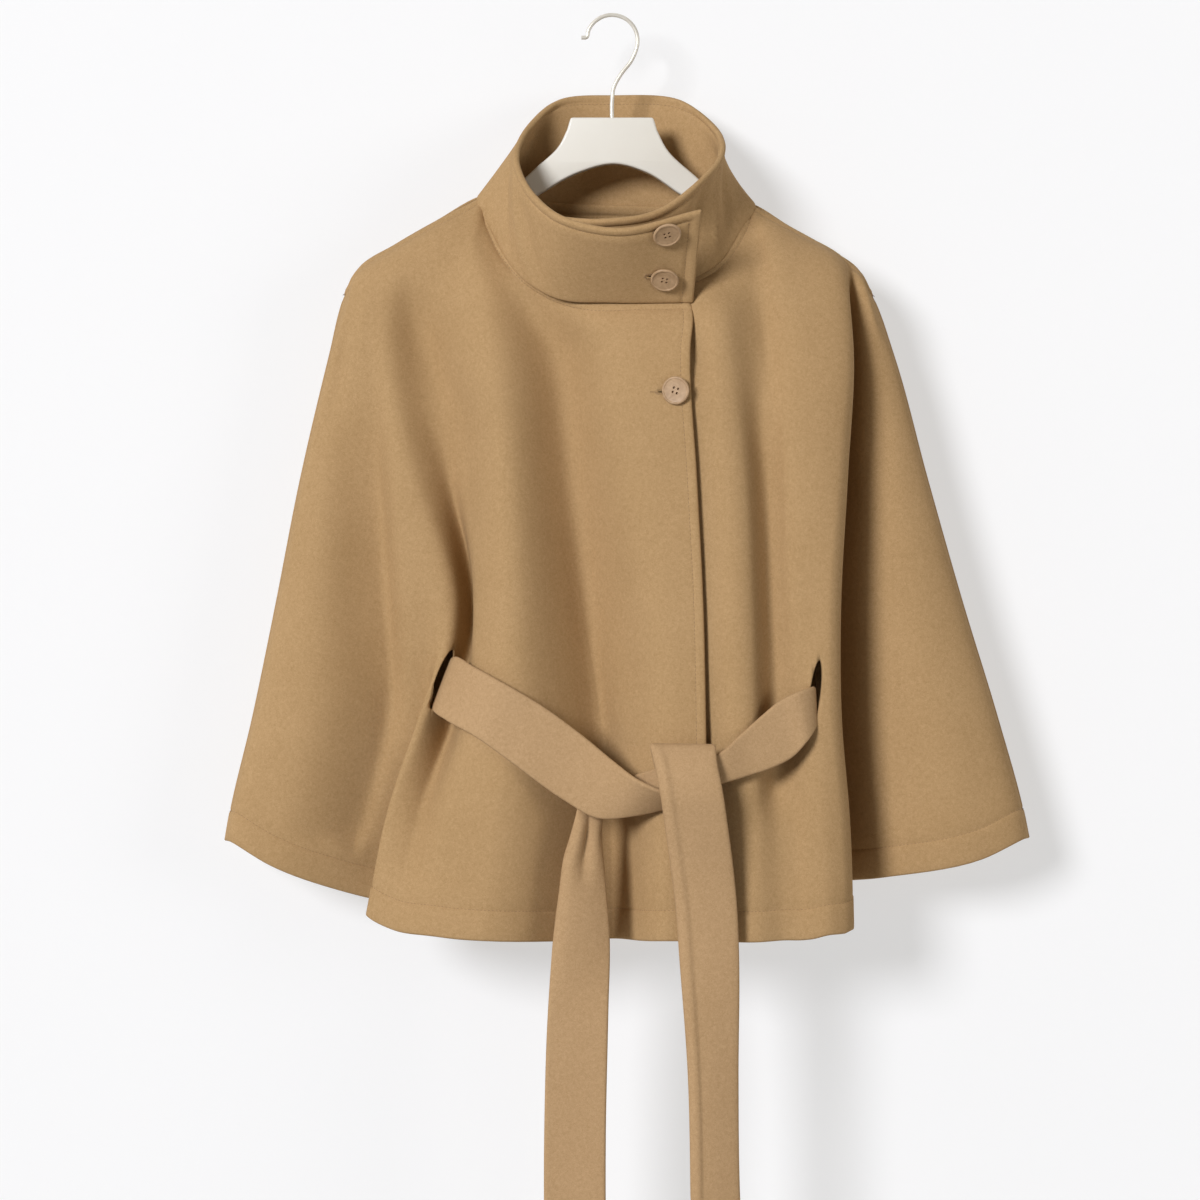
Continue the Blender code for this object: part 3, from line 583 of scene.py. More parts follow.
def stitch_tree():
    """Nodes that lay one short thread at each step of a path, along its `lie` attribute."""
    made = bpy.data.node_groups.new("stitches", "GeometryNodeTree")
    face = made.interface
    face.new_socket("Path", in_out="INPUT", socket_type="NodeSocketGeometry")
    for name in ("Pitch", "Length", "Thread"):
        face.new_socket(name, in_out="INPUT", socket_type="NodeSocketFloat")
    face.new_socket("Finish", in_out="INPUT", socket_type="NodeSocketMaterial")
    face.new_socket("Stitches", in_out="OUTPUT", socket_type="NodeSocketGeometry")
    nodes, links = made.nodes, made.links
    given, result = nodes.new("NodeGroupInput"), nodes.new("NodeGroupOutput")
    path = nodes.new("GeometryNodeMeshToCurve")
    even = nodes.new("GeometryNodeResampleCurve")
    even.mode = "LENGTH"
    lie = nodes.new("GeometryNodeInputNamedAttribute")
    lie.data_type = "FLOAT_VECTOR"
    lie.inputs["Name"].default_value = "lie"
    turn = nodes.new("FunctionNodeAlignRotationToVector")
    turn.axis = "Z"
    bead = nodes.new("GeometryNodeMeshUVSphere")
    bead.inputs["Segments"].default_value = 6
    bead.inputs["Rings"].default_value = 4
    bead.inputs["Radius"].default_value = 0.5
    soft = nodes.new("GeometryNodeSetShadeSmooth")
    uneven = nodes.new("FunctionNodeRandomValue")
    uneven.inputs[2].default_value = 0.82
    uneven.inputs[3].default_value = 1.08
    uneven.inputs["Seed"].default_value = 7
    longer = nodes.new("ShaderNodeMath")
    longer.operation = "MULTIPLY"
    size = nodes.new("ShaderNodeCombineXYZ")
    lay = nodes.new("GeometryNodeInstanceOnPoints")
    real = nodes.new("GeometryNodeRealizeInstances")
    finish = nodes.new("GeometryNodeSetMaterial")
    links.new(given.outputs["Path"], path.inputs["Mesh"])
    links.new(path.outputs["Curve"], even.inputs["Curve"])
    links.new(given.outputs["Pitch"], even.inputs["Length"])
    links.new(even.outputs["Curve"], lay.inputs["Points"])
    links.new(lie.outputs["Attribute"], turn.inputs["Vector"])
    links.new(turn.outputs["Rotation"], lay.inputs["Rotation"])
    links.new(bead.outputs["Mesh"], soft.inputs["Geometry"])
    links.new(soft.outputs["Geometry"], lay.inputs["Instance"])
    links.new(given.outputs["Length"], longer.inputs[0])
    links.new(uneven.outputs[1], longer.inputs[1])
    links.new(given.outputs["Thread"], size.inputs["X"])
    links.new(given.outputs["Thread"], size.inputs["Y"])
    links.new(longer.outputs[0], size.inputs["Z"])
    links.new(size.outputs["Vector"], lay.inputs["Scale"])
    links.new(lay.outputs["Instances"], real.inputs["Geometry"])
    links.new(real.outputs["Geometry"], finish.inputs["Geometry"])
    links.new(given.outputs["Finish"], finish.inputs["Material"])
    links.new(finish.outputs["Geometry"], result.inputs["Stitches"])
    return made


def path_mesh(name, paths, lies=None):
    """Edges along some paths, each point with the direction in which its thread lies."""
    points, edges, directions = [], [], []
    for number, path in enumerate(paths):
        path = np.asarray(path, float)
        edges += [(len(points) + i, len(points) + i + 1) for i in range(len(path) - 1)]
        directions += list(lies[number] if lies else np.gradient(path, axis=0))
        points += list(path * MM)
    mesh = bpy.data.meshes.new(name)
    mesh.from_pydata([tuple(point) for point in points], edges, [])
    layer = mesh.attributes.new("lie", "FLOAT_VECTOR", "POINT")
    layer.data.foreach_set("vector", np.array(directions, np.float32).reshape(-1))
    return mesh


STITCHES = stitch_tree()


def stitched(name, paths, finish, pitch, length, thread, lies=None):
    """A piece of real stitches along these paths."""
    worker = bpy.data.objects.new(name + "_worker", path_mesh(name + "_path", paths, lies))
    bpy.context.scene.collection.objects.link(worker)
    lay = worker.modifiers.new("stitches", "NODES")
    lay.node_group = STITCHES
    named = {item.name: item.identifier for item in STITCHES.interface.items_tree}
    lay[named["Pitch"]] = pitch * MM
    lay[named["Length"]] = length * MM
    lay[named["Thread"]] = thread * MM
    lay[named["Finish"]] = finish
    mesh = made_plain(name, worker)
    return shown(name, mesh, None, "wool")


STITCH_PITCH, STITCH_LENGTH, STITCH_THREAD = 3.1, 2.5, 0.55
WORKED_PITCH, WORKED_LENGTH, WORKED_THREAD = 0.8, 1.9, 0.5
STITCH_SUNK = 0.15            # the share of a thread that lies below the cloth's face
THREAD_LIGHT = (0.29, 0.175, 0.08, 1)
THREAD_DARK = (0.1798, 0.1085, 0.0496, 1)
thread = mottled("camel_thread", THREAD_DARK, THREAD_LIGHT, {"Roughness": 0.6}, 1800)
inner, outer = END_BAND.index(END_STITCH), -1 - RIM_BAND.index(COLLAR_STITCH)


def both_faces(grid, half, axis_point):
    """The cloth's two faces, just under the surface, where stitches lie."""
    out = normals(grid, axis_point) * (half - STITCH_THREAD * STITCH_SUNK)[..., None]
    return grid + out, grid - out


HOLE_STITCH = 1.5             # from the middle of a buttonhole to the middle of its stitches


def worked(holes, face, bar):
    """Paths round some buttonholes with a bar at the left end, and how the threads lie there."""
    paths, lies = [], []
    for hole in holes:
        left, right = hole_ends(hole, face)
        xs = np.linspace(right[0], left[0], 12)
        turn = np.radians(np.linspace(90, 270, 9))
        spots = [(x, left[2] + HOLE_STITCH, (0, 0, 1)) for x in xs]
        spots += [(left[0] + HOLE_STITCH * cos(a), left[2] + HOLE_STITCH * sin(a),
                   (cos(a), 0, sin(a))) for a in turn[1:-1]]
        spots += [(x, left[2] - HOLE_STITCH, (0, 0, 1)) for x in xs[::-1]]
        ends = [(left[0] - HOLE_STITCH - share * bar, left[2], (0, 0, 1)) for share in (0, 0.5, 1)]
        for line in (spots, ends):
            paths.append([on_face(face, x, z) for x, z, _ in line])
            lies.append([lie for _, _, lie in line])
    return paths, lies


collar_faces = both_faces(collar, half, NECK_AXIS)
collar_paths = []
for face in collar_faces:
    collar_paths.append(np.vstack([face[:outer, inner], face[outer, inner:outer],
                                   face[:outer + 1, outer][::-1]]))
collar_stitches = stitched("collar_stitches", collar_paths, thread,
                           STITCH_PITCH, STITCH_LENGTH, STITCH_THREAD)
paths, lies = worked(COLLAR_HOLES, collar_faces[0][:, :FLAP_COLUMNS], 1.0)
collar_holes = stitched("collar_buttonholes", paths, thread,
                        WORKED_PITCH, WORKED_LENGTH, WORKED_THREAD, lies)


# ---------------------------------------------------------------- the fronts and the back
# Three panels of heavy milled wool, each cut as a part of a circle: two fronts and a back, one
# layer thick, sewn together along the shoulders and overarms and hung in folds from there.
# The neck seam is topstitched on the panels, and the hems are turned up 24 mm and sewn.
LEVELS = (-270, -370, -470, -561, -641)
ROLL_DROP, ROLL_OUT = 8.0, 13.0
NECK_FRONT = 30.0             # past this the neck seam is no longer on the shoulder
NECK_ROLL, ROLL_REACH = 0.4, 60.0   # the roll's share at the neck point; all of it this far out
NOSE_IN, NOSE_OUT = 4.0, 13.0
HALF_SEAM = 0.9
SEAM_UNDER = 3.6              # the panels are sewn on under the collar's edge
SEAM_INSET = 2.4              # the turned cloth stands this far outside the seam
SEAM_STEP = 1.2               # the back's edge stands this far above the fronts'
NECK_STITCH = 8.8
FRONT_STITCH = 7.6
HEM_DEPTH = 24.0
# how much the sewn cloth swells beside its stitching and sinks along it, and how wide
HEM_SWELL, HEM_SINK = 0.5, 0.85
NECK_SWELL, NECK_SINK = 0.8, 0.8
FRONT_SWELL, FRONT_SINK = 0.4, 0.35
SWELL_WIDTH, SINK_WIDTH = 2.6, 1.1
NECK_BAND = (0, 0.6, 1.9, 5.4, 7.8, 8.8, 9.8)
HEM_BAND = (0, 0.6, 1.9, 8, 16, 22, 23.2, 24, 24.8, 26.5)
FRONT_BAND = (0, 0.6, 1.9, 4.6, 6.6, 7.6, 8.6, 11)
LEVEL_STEPS = 10
LOWER_STEPS = 16
LOWER_FINE = 30
SEAM_SPOTS = 20
ACROSS_STEPS = 8
CREASE_STEPS = 8

OVERARM_RIGHT = ((-107, -146), (-140, -164), (-173, -183), (-203, -203), (-212, -216),
                 (-217, -229), (-226, -266), (-250, -368), (-270, -470), (-289, -562),
                 (-308, -644), (-310.5, -659))
OVERARM_LEFT = ((114, -152), (151, -174), (174, -187), (188, -196), (199, -206),
                (206, -217), (212, -229), (225, -266), (253, -368), (282, -470),
                (310, -562), (332, -644), (334.5, -657))
SHOULDER_POINT_RIGHT, SHOULDER_POINT_LEFT = -212, 206

# starts: a row of COLLAR (with fractions) or the x of a point on the shoulder seam
Fold = namedtuple("Fold", "line starts at x y hem")
FRONT_RIGHT = (
    Fold("front_edge", "collar", 0.0,
         (61, 66, 71, 73, 74), (-78, -83, -85, -86, -87), (75, -89, -732)),
    Fold("placket", "collar", 0.55,
         (28, 28, 29, 33, 37), (-75, -80, -83, -84, -86), (39, -87, -732)),
    Fold("flat_front", "collar", 1.6,
         (-10, -9, 1, 11, 27), (-69, -73, -76, -77, -77), (29, -76, -733)),
    Fold("deep_hollow", "collar", 3.3,
         (-53, -41, -25, -10, -3), (-53, -53, -50, -48, -46), (-1, -45, -735)),
    Fold("front_ridge", "collar", 4.5,
         (-96, -86, -82, -82, -90), (-60, -70, -77, -79, -83), (-100, -86, -732)),
    Fold("neck_point", "collar", 5.0,
         (-112, -103, -93, -98, -114), (-53, -63, -71, -73, -78), (-120, -83, -731)),
    Fold("side_slope", "shoulder", -112,
         (-124, -115, -105.5, -112, -134), (-46, -54, -62, -64, -70), (-140, -78, -729)),
    Fold("side_hollow", "shoulder", -155,
         (-158, -132, -111.5, -127, -156), (-28, -30, -26, -31, -50), (-170, -62, -726)),
    Fold("fold_edge", "shoulder", -174,
         (-180, -158, -125, -152, -178), (-34, -44, -44, -48, -46), (-193, -44, -716)),
    Fold("under_fold", "shoulder", -184,
         (-190, -174, -151, -142, -145), (-32, -41, -38, -24, -14), (-150, -10, -710)),
    Fold("wing_start", "shoulder", -192,
         (-200, -185, -170, -163, -173), (-29, -36, -33, -16, -6), (-182, -4, -707)),
    Fold("wing_hollow", "shoulder", -197,
         (-206, -205, -199, -196, -203), (-25, -30, -31, -24, -14), (-217, -12, -698)),
    Fold("wing_ridge", "shoulder", -202,
         (-213, -231, -244, -253, -266), (-17, -23, -27, -29, -27), (-272, -25, -677)),
)
FRONT_LEFT = (
    Fold("under_edge", "collar", 14.0,
         (-20, 0, 14, 26, 32), (-46, -50, -52, -52, -52), (34, -50, -731)),
    Fold("under_front", "collar", 12.1,
         (30, 38, 46, 52, 58), (-62, -66, -69, -69, -67), (61, -67, -732)),
    Fold("front_ridge", "collar", 11.0,
         (89, 101, 106, 108, 112), (-75, -85, -89, -90, -86), (113, -86, -733)),
    Fold("front_hollow", "collar", 9.5,
         (115, 122, 125, 129, 131), (-62, -62, -64, -66, -77), (136, -79, -732)),
    Fold("neck_point", "collar", 9.0,
         (122, 129, 132, 138, 143), (-63, -65, -69, -70, -77), (147, -79, -732)),
    Fold("neck_slope", "shoulder", 119,
         (132, 137, 140, 146, 152), (-65, -73, -76, -75, -80), (156, -81, -731)),
    Fold("broad_ridge", "shoulder", 148,
         (155, 157, 157, 158, 165), (-65, -76, -79, -80, -81), (168, -82, -728)),
    Fold("fold_edge", "shoulder", 185,
         (186, 178, 170, 171, 179), (-55, -71, -79, -79, -76), (182, -75, -727)),
    Fold("deep_fold", "shoulder", 190,
         (188, 179, 171, 170, 176), (2, 8, 11, 12, 12), (179, 12, -694)),
    Fold("wing_start", "shoulder", 194,
         (202, 203, 201, 203, 208), (-16, -20, -20, -18, -15), (213, -13, -688)),
    Fold("wing_ridge", "shoulder", 197,
         (211, 230, 252, 273, 289), (-18, -24, -28, -30, -30), (294, -28, -672)),
)
BACK = (
    Fold("wing_right", "shoulder", -202,
         (-214, -226, -236, -246, -258), (15, 20, 23, 24, 24), (-262, 24, -679)),
    Fold("side_right", "shoulder", -172,
         (-178, -182, -186, -192, -200), (25, 24, 22, 24, 28), (-202, 29, -698)),
    Fold("flute_right", "shoulder", -138,
         (-137, -138, -140, -142, -146), (36, 42, 44, 46, 48), (-147, 49, -724)),
    Fold("hollow_right", "collar", 5.15,
         (-98, -96, -94, -92, -92), (32, 33, 33, 32, 32), (-92, 32, -734)),
    Fold("back_right", "collar", 6.0,
         (-52, -47, -43, -40, -40), (40, 45, 48, 50, 52), (-40, 53, -738)),
    Fold("centre_back", "collar", 7.0,
         (3, 4, 5, 6, 6), (42, 40, 38, 37, 36), (6, 36, -740)),
    Fold("back_left", "collar", 8.0,
         (58, 53, 51, 50, 50), (40, 46, 49, 50, 51), (50, 52, -738)),
    Fold("hollow_left", "collar", 8.85,
         (105, 102, 100, 98, 98), (33, 34, 33, 32, 32), (98, 32, -733)),
    Fold("flute_left", "shoulder", 144,
         (144, 147, 150, 152, 154), (37, 43, 45, 46, 47), (156, 48, -708)),
    Fold("side_left", "shoulder", 173,
         (180, 188, 196, 204, 212), (26, 27, 26, 27, 28), (214, 29, -683)),
    Fold("wing_left", "shoulder", 198,
         (212, 232, 250, 268, 284), (16, 20, 22, 24, 24), (287, 24, -674)),
)


# path: x, z and depth down the crease
Crease = namedtuple("Crease", "name path left right")
CREASES_RIGHT = (
    Crease("side_hollow", ((-163, -215, 0), (-156, -235, 6), (-142, -270, 12), (-121, -325, 17),
                           (-112, -388, 11), (-109, -435, 5), (-107, -470, 0)), 17, 20),
    Crease("side_groove", ((-130, -325, 0), (-116, -388, 5), (-112, -435, 8), (-109, -482, 10),
                           (-108, -512, 6), (-112, -545, 0)), 12, 12),
    Crease("below_collar", ((-62, -214, 0), (-54, -236, 11), (-42, -270, 20), (-32, -325, 24),
                            (-21, -388, 28), (-13, -435, 31), (-6, -482, 31), (0, -530, 25),
                            (1, -590, 15)), 24, 25),
    Crease("between_tails", ((0, -590, 6), (3, -620, 19), (4, -655, 25), (4, -690, 24),
                             (4, -736, 19)), 21, 15),
    Crease("wing", ((-196, -262, 0), (-190, -310, 10), (-186, -370, 18), (-182, -440, 22),
                    (-179, -500, 20), (-178, -550, 15), (-190, -600, 10), (-206, -660, 6)), 34, 10),
    Crease("under_slit", ((-122, -540, 0), (-126, -564, 8), (-134, -593, 7),
                          (-145, -627, 6), (-154, -662, 4), (-164, -700, 0)), 9, 11),
)
CREASES_LEFT = (
    Crease("front_hollow", ((119, -225, 0), (121, -245, 5), (123, -275, 5), (125, -320, 0)), 9, 15),
    Crease("under_band", ((134, -556, 0), (134, -585, 6), (126, -612, 6), (120, -640, 0)), 10, 14),
    Crease("at_the_edge", ((60, -245, 0), (63, -260, 5), (66, -275, 7), (68, -288, 4),
                           (70, -302, 2), (70, -330, 3), (72, -390, 5), (74, -470, 6),
                           (76, -540, 6), (77, -590, 5), (78, -615, 0)), 10, 7),
    Crease("under_collar", ((68, -212, 0), (73, -224, -5), (78, -238, -7), (80, -255, -5),
                            (81, -285, 0)), 15, 18),
)
CREASES_BACK = (
    Crease("flute_right", ((-118, -200, 0), (-116, -260, 5), (-114, -350, 9), (-113, -450, 11),
                           (-115, -560, 9), (-118, -660, 4)), 15, 20),
    Crease("centre", ((-12, -190, 0), (-10, -250, 4), (-6, -340, 7), (2, -450, 9), (6, -560, 9),
                      (8, -690, 6)), 22, 16),
    Crease("flute_left", ((126, -230, 0), (124, -300, 6), (121, -400, 10), (120, -500, 9),
                          (122, -610, 5), (124, -680, 2)), 18, 14),
    Crease("side_left", ((188, -300, 0), (196, -380, 5), (206, -480, 7), (214, -580, 5),
                         (220, -650, 2)), 16, 22),
)


def seam_point(at):
    """A point of the neck seam, `at` rows into the collar's table."""
    return smooth([ruling.seam for ruling in COLLAR], SEAM_SPOTS)[round(at * SEAM_SPOTS)]


def shoulder_point(overarm, x):
    curve = smooth(with_depth(overarm), 8)
    curve = curve[:len(curve) // 2]
    return curve[np.abs(curve[:, 0] - x).argmin()]


def overarm_at(overarm, z):
    curve = smooth(with_depth(overarm), 8)
    return np.array([np.interp(-z, -curve[:, 2], curve[:, 0]), 0, z])


def down_the_cloth(points):
    """A fold line from its seam to the hem, with rows close together at both."""
    first = np.linalg.norm(points[1] - points[0])
    spots = [banded(max(first, NECK_BAND[-1] + 0.8), NECK_BAND, 1)]
    spots += [even_shares(LEVEL_STEPS)] * (len(points) - 4)
    spots += [even_shares(LOWER_FINE)] * 2
    curve = smooth(points, spots)
    upper, lower = np.split(curve, [-2 * LOWER_FINE - 1])
    along = np.append(0, np.cumsum(np.linalg.norm(np.diff(lower, axis=0), axis=1)))
    spots = np.append(banded(along[-1], (0,), LOWER_STEPS, HEM_BAND), 1) * along[-1]
    lower = np.stack([np.interp(spots, along, lower[:, i]) for i in range(3)], axis=1)
    return np.vstack([upper, lower])


def fold_line(fold, overarm, side):
    levels = [(x, y, z) for x, y, z in zip(fold.x, fold.y, LEVELS)]
    if fold.starts == "collar":
        seam = seam_point(fold.at)
        down = np.array(levels[0]) - seam
        down /= np.linalg.norm(down)
        share = NECK_ROLL * max(0, 1 - abs(seam[1]) / NECK_FRONT)
        roll = seam + down * ROLL_DROP + (0, side * ROLL_OUT * share, 0)
        inward = np.array([NECK_AXIS[0], NECK_AXIS[1], seam[2]]) - seam
        start = seam + inward / np.linalg.norm(inward) * SEAM_UNDER - down * SEAM_UNDER / 2
    else:
        seam = shoulder_point(overarm, fold.at)
        down = np.array(levels[0]) - seam
        down /= np.linalg.norm(down)
        start = seam + (0, side * HALF_SEAM, SEAM_STEP if side > 0 else 0)
        share = min(1, NECK_ROLL + abs(seam[0] - overarm[0][0]) / ROLL_REACH)
        roll = seam + down * ROLL_DROP + (0, side * ROLL_OUT * share, 0)
    return down_the_cloth(np.array([start, roll] + levels + [fold.hem]))


def overarm_lines(overarm, shoulder_x, side):
    """The panel's edge along the overarm seam, and the line where the cloth rolls round it."""
    seam = shoulder_point(overarm, shoulder_x)
    hem = np.array([overarm[-1][0], 0, overarm[-1][1]])
    spine = [seam, overarm_at(overarm, seam[2] - ROLL_DROP)]
    spine = np.array(spine + [overarm_at(overarm, z) for z in LEVELS] + [hem])
    inward = 1 if shoulder_x < 0 else -1
    spine[:, 0] += inward * (SEAM_INSET - (SEAM_STEP if side > 0 else 0))
    edge = spine + (0, side * HALF_SEAM, 0)
    inward *= NOSE_IN
    nose = spine + (inward, side * NOSE_OUT, 0)
    nose[0] = shoulder_point(overarm, shoulder_x + inward) + (0, side * HALF_SEAM, 0)
    return down_the_cloth(edge), down_the_cloth(nose)


def loft(lines, first_band=None):
    """Rows of points across the fold lines."""
    rows = []
    for points in np.array(lines).transpose(1, 0, 2):
        spans = np.linalg.norm(np.diff(points, axis=0), axis=1)
        spots = [even_shares(ACROSS_STEPS)] * len(spans)
        ends = (0, 0.6, 1.9)
        spots[-1] = banded(max(spans[-1], 4), (0,), 4, ends)
        spots[0] = banded(max(spans[0], 4), first_band or ends, 6 if first_band else 4)
        rows.append(smooth(points, spots))
    return np.array(rows)


def front_panel(folds, overarm, shoulder_x, first_band):
    lines = [fold_line(fold, overarm, -1) for fold in folds]
    edge, nose = overarm_lines(overarm, shoulder_x, -1)
    return loft(lines + [nose, edge], first_band)


def back_panel():
    middle = len(BACK) // 2
    lines = [fold_line(fold, OVERARM_RIGHT if index <= middle else OVERARM_LEFT, 1)
             for index, fold in enumerate(BACK)]
    edge_right, nose_right = overarm_lines(OVERARM_RIGHT, SHOULDER_POINT_RIGHT, 1)
    edge_left, nose_left = overarm_lines(OVERARM_LEFT, SHOULDER_POINT_LEFT, 1)
    return loft([edge_right, nose_right] + lines + [nose_left, edge_left])


def creased(grid, creases, axis_point):
    """Push soft troughs into the cloth, or ridges out of it where the depth is negative.

    Each crease follows its path down the cloth, with a depth for each point of it, and fades
    out over its reach to the left and to the right. The push goes straight back, and the
    layers of a fold go with it, so that they keep their distance."""
    depth = np.zeros(grid.shape[:2])
    for crease in creases:
        line = smooth(crease.path, CREASE_STEPS)
        x = np.interp(-grid[..., 2], -line[:, 1], line[:, 0])
        lean = np.gradient(line[:, 0], -line[:, 1])
        lean = np.cos(np.arctan(np.interp(-grid[..., 2], -line[:, 1], lean)))
        pushed = np.interp(-grid[..., 2], -line[:, 1], line[:, 2], left=0, right=0)
        offset = (grid[..., 0] - x) * lean
        reach = np.where(offset < 0, crease.left, crease.right)
        depth += pushed * np.exp(-(offset / reach) ** 2)
    inward = np.array([0, np.sign(axis_point[1]), 0])
    return grid + inward * depth[..., None]


def sewn_half(grid, front_edge):
    """Half the cloth's thickness: more where it is turned up, less along the stitching."""
    from_top, across = lengths(grid, 0), lengths(grid, 1)
    from_hem = from_top[-1:] - from_top
    half = np.full(grid.shape[:2], CLOTH / 2)
    half += HEM_SWELL * np.clip((HEM_DEPTH - from_hem) / 1.6 + 0.5, 0, 1)
    half -= HEM_SINK * groove(from_hem, HEM_DEPTH, SINK_WIDTH)
    half += NECK_SWELL * groove(from_top, NECK_STITCH * 0.6, SWELL_WIDTH)
    half -= NECK_SINK * groove(from_top, NECK_STITCH, SINK_WIDTH)
    if front_edge:
        half += FRONT_SWELL * groove(across, FRONT_STITCH / 2, SWELL_WIDTH)
        half -= FRONT_SINK * groove(across, FRONT_STITCH, SINK_WIDTH)
    return half


BEHIND, BEFORE = (0, 400), (0, -400)
front_right = front_panel(FRONT_RIGHT, OVERARM_RIGHT, SHOULDER_POINT_RIGHT, FRONT_BAND)
front_left = front_panel(FRONT_LEFT, OVERARM_LEFT, SHOULDER_POINT_LEFT, FRONT_BAND)
front_right = creased(front_right, CREASES_RIGHT, BEHIND)
front_left = creased(front_left, CREASES_LEFT, BEHIND)
back = creased(back_panel(), CREASES_BACK, BEFORE)
right_half, left_half, back_half = (sewn_half(front_right, True), sewn_half(front_left, True),
                                    sewn_half(back, False))
right_mesh = cloth_mesh("front_right_cloth", front_right, right_half, BEHIND)
left_mesh = cloth_mesh("front_left_cloth", front_left, left_half, BEHIND)
back_mesh = cloth_mesh("back_cloth", back, back_half, BEFORE)


# ---------------------------------------------------------------- the slits and buttonholes
# Cuts right through the fronts: a long pointed slit for the belt at each side, and narrow
# buttonholes worked over with thread. The milled cloth doesn't fray, so the slits stay raw.
SLIT_WIDTH, SLIT_LENGTH = 11.0, 50.0
CUT_DEPTH = 18.0
SLIT_RIGHT = Slit((-135.5, -42, -529), (-0.37, 0, -0.93), (0.35, -0.94, 0))
SLIT_LEFT = Slit((157.2, -76, -538), (-0.12, 0, -0.99), (0.3, -0.95, 0))
FRONT_HOLE = Buttonhole(35.4, 53, -304.2)
FRONT_COLUMNS = 24

right_mesh = cut_through(right_mesh, SLIT_RIGHT, SLIT_WIDTH, SLIT_LENGTH, CUT_DEPTH)
left_mesh = cut_through(left_mesh, SLIT_LEFT, SLIT_WIDTH * 0.75, SLIT_LENGTH, CUT_DEPTH)
right_mesh = holed(right_mesh, FRONT_HOLE, front_right[:, :FRONT_COLUMNS], CLOTH * 2)
right_piece = shown("front_right_cloth", right_mesh, camel, "wool", "cape_front_right")
left_piece = shown("front_left_cloth", left_mesh, camel, "wool", "cape_front_left")
back_piece = shown("back_cloth", back_mesh, camel, "wool", "cape_back")

neck_row, hem_row = NECK_BAND.index(NECK_STITCH), -1 - HEM_BAND.index(HEM_DEPTH)
front_column = FRONT_BAND.index(FRONT_STITCH)
right_face = both_faces(front_right, right_half, BEHIND)[0]
left_face = both_faces(front_left, left_half, BEHIND)[0]
back_face = both_faces(back, back_half, BEFORE)[0]
panel_paths = []
for face in (right_face, left_face):
    panel_paths += [face[neck_row, front_column:], face[hem_row],
                    face[neck_row:hem_row + 1, front_column]]
panel_paths += [back_face[neck_row], back_face[hem_row]]
panel_stitches = stitched("panel_stitches", panel_paths, thread,
                          STITCH_PITCH, STITCH_LENGTH, STITCH_THREAD)
paths, lies = worked([FRONT_HOLE], right_face[:, :FRONT_COLUMNS], 4.2)
front_hole = stitched("front_buttonhole", paths, thread,
                        WORKED_PITCH, WORKED_LENGTH, WORKED_THREAD, lies)


# ---------------------------------------------------------------- the belt
# A tie belt of the same wool, 49 mm wide, doubled, turned out and pressed. It runs across the
# inside of the back, comes out of a slit in each front and is knotted once, low at the front.
BELT_WALL = 3.6
BELT_STEPS = 8
# Painted light: the belt is the cape's own wool, but its colours are painted a little lighter than the
# cape's, for the extra light the belt catches.
LIT_BELT_DARK, LIT_BELT_LIGHT = (0.37, 0.232, 0.112, 1), (0.508, 0.333, 0.179, 1)
BELT_COLUMNS = (0, 0.012, 0.04, 0.08, 0.12, 0.16, 0.2, 0.25, 0.31, 0.38, 0.46, 0.55, 0.64, 0.74,
                0.84, 0.92, 0.96, 0.988, 1)
# roll: how far the cloth stands out at these shares of its width
Across = namedtuple("Across", "place upper lower roll", defaults=(((0, 0), (1, 0)),))
LOOP_ROLL = ((0, -4.5), (0.04, -1.8), (0.1, 0.3), (0.14, 0.4), (0.21, -1.0), (0.3, -0.5),
             (0.5, 0.2), (0.9, 0.1), (1, -1.0))
TAIL_ROLL = ((0, -3.0), (0.08, 0.6), (0.2, 1.8), (0.32, 0.4), (0.46, -4.2), (0.58, -3.6),
             (0.72, -1.0), (0.86, -2.6), (1, -7.0))
TAIL_TURNED = ((0, -2.4), (0.1, 0.6), (0.22, 1.6), (0.4, 0.6), (0.58, -1.4), (0.78, -4.6), (1, -9.5))
BAND_RIGHT = (
    Across("inside", (-119, -12, -505), (-129, -10, -553)),
    Across("slit", (-127, -32, -513), (-139, -31.2, -548)),
    Across("turn", (-122, -49, -511), (-140.5, -47, -554)),
    Across("out", (-109, -66, -518), (-130, -62, -561)),
    Across("ridge", (-88, -86, -529), (-107, -80, -573)),
    Across("hang", (-57, -88, -547), (-77, -88, -594)),
    Across("low", (-20, -91, -574), (-38, -90, -622)),
    Across("sag", (2, -99, -592), (-12, -92, -636)),
    Across("roll", (21, -111, -606), (18, -91, -634)),
    Across("knot", (44, -112, -616), (44, -91, -628)),
)
BAND_LEFT = (
    Across("inside", (140, -30, -533), (140, -30, -572)),
    Across("slit", (155.5, -62, -535.5), (157, -62, -560)),
    Across("turn", (155.5, -83, -534), (158, -81.5, -566)),
    Across("out", (146, -91, -537), (151, -90, -577)),
    Across("ridge", (131, -92, -544), (141, -90, -588)),
    Across("hang", (116, -94, -556), (124, -93, -597)),
    Across("gather", (99, -98, -571), (105, -97, -603)),
    Across("knot", (82, -104, -585), (87, -104, -608)),
    Across("under_loop", (60, -106, -589), (63, -106, -613)),
    Across("cross", (40, -103, -595), (42, -103, -611)),
    Across("behind", (18, -92, -602), (16, -84.5, -628)),
)
BELT_BACK = (
    BAND_RIGHT[0],
    Across("right", (-82, 12, -503), (-86, 12, -552)),
    Across("middle_right", (-30, 23, -505), (-30, 23, -554)),
    Across("middle_left", (36, 23, -511), (36, 23, -560)),
    Across("left", (92, 10, -521), (92, 10, -566)),
    BAND_LEFT[0],
)
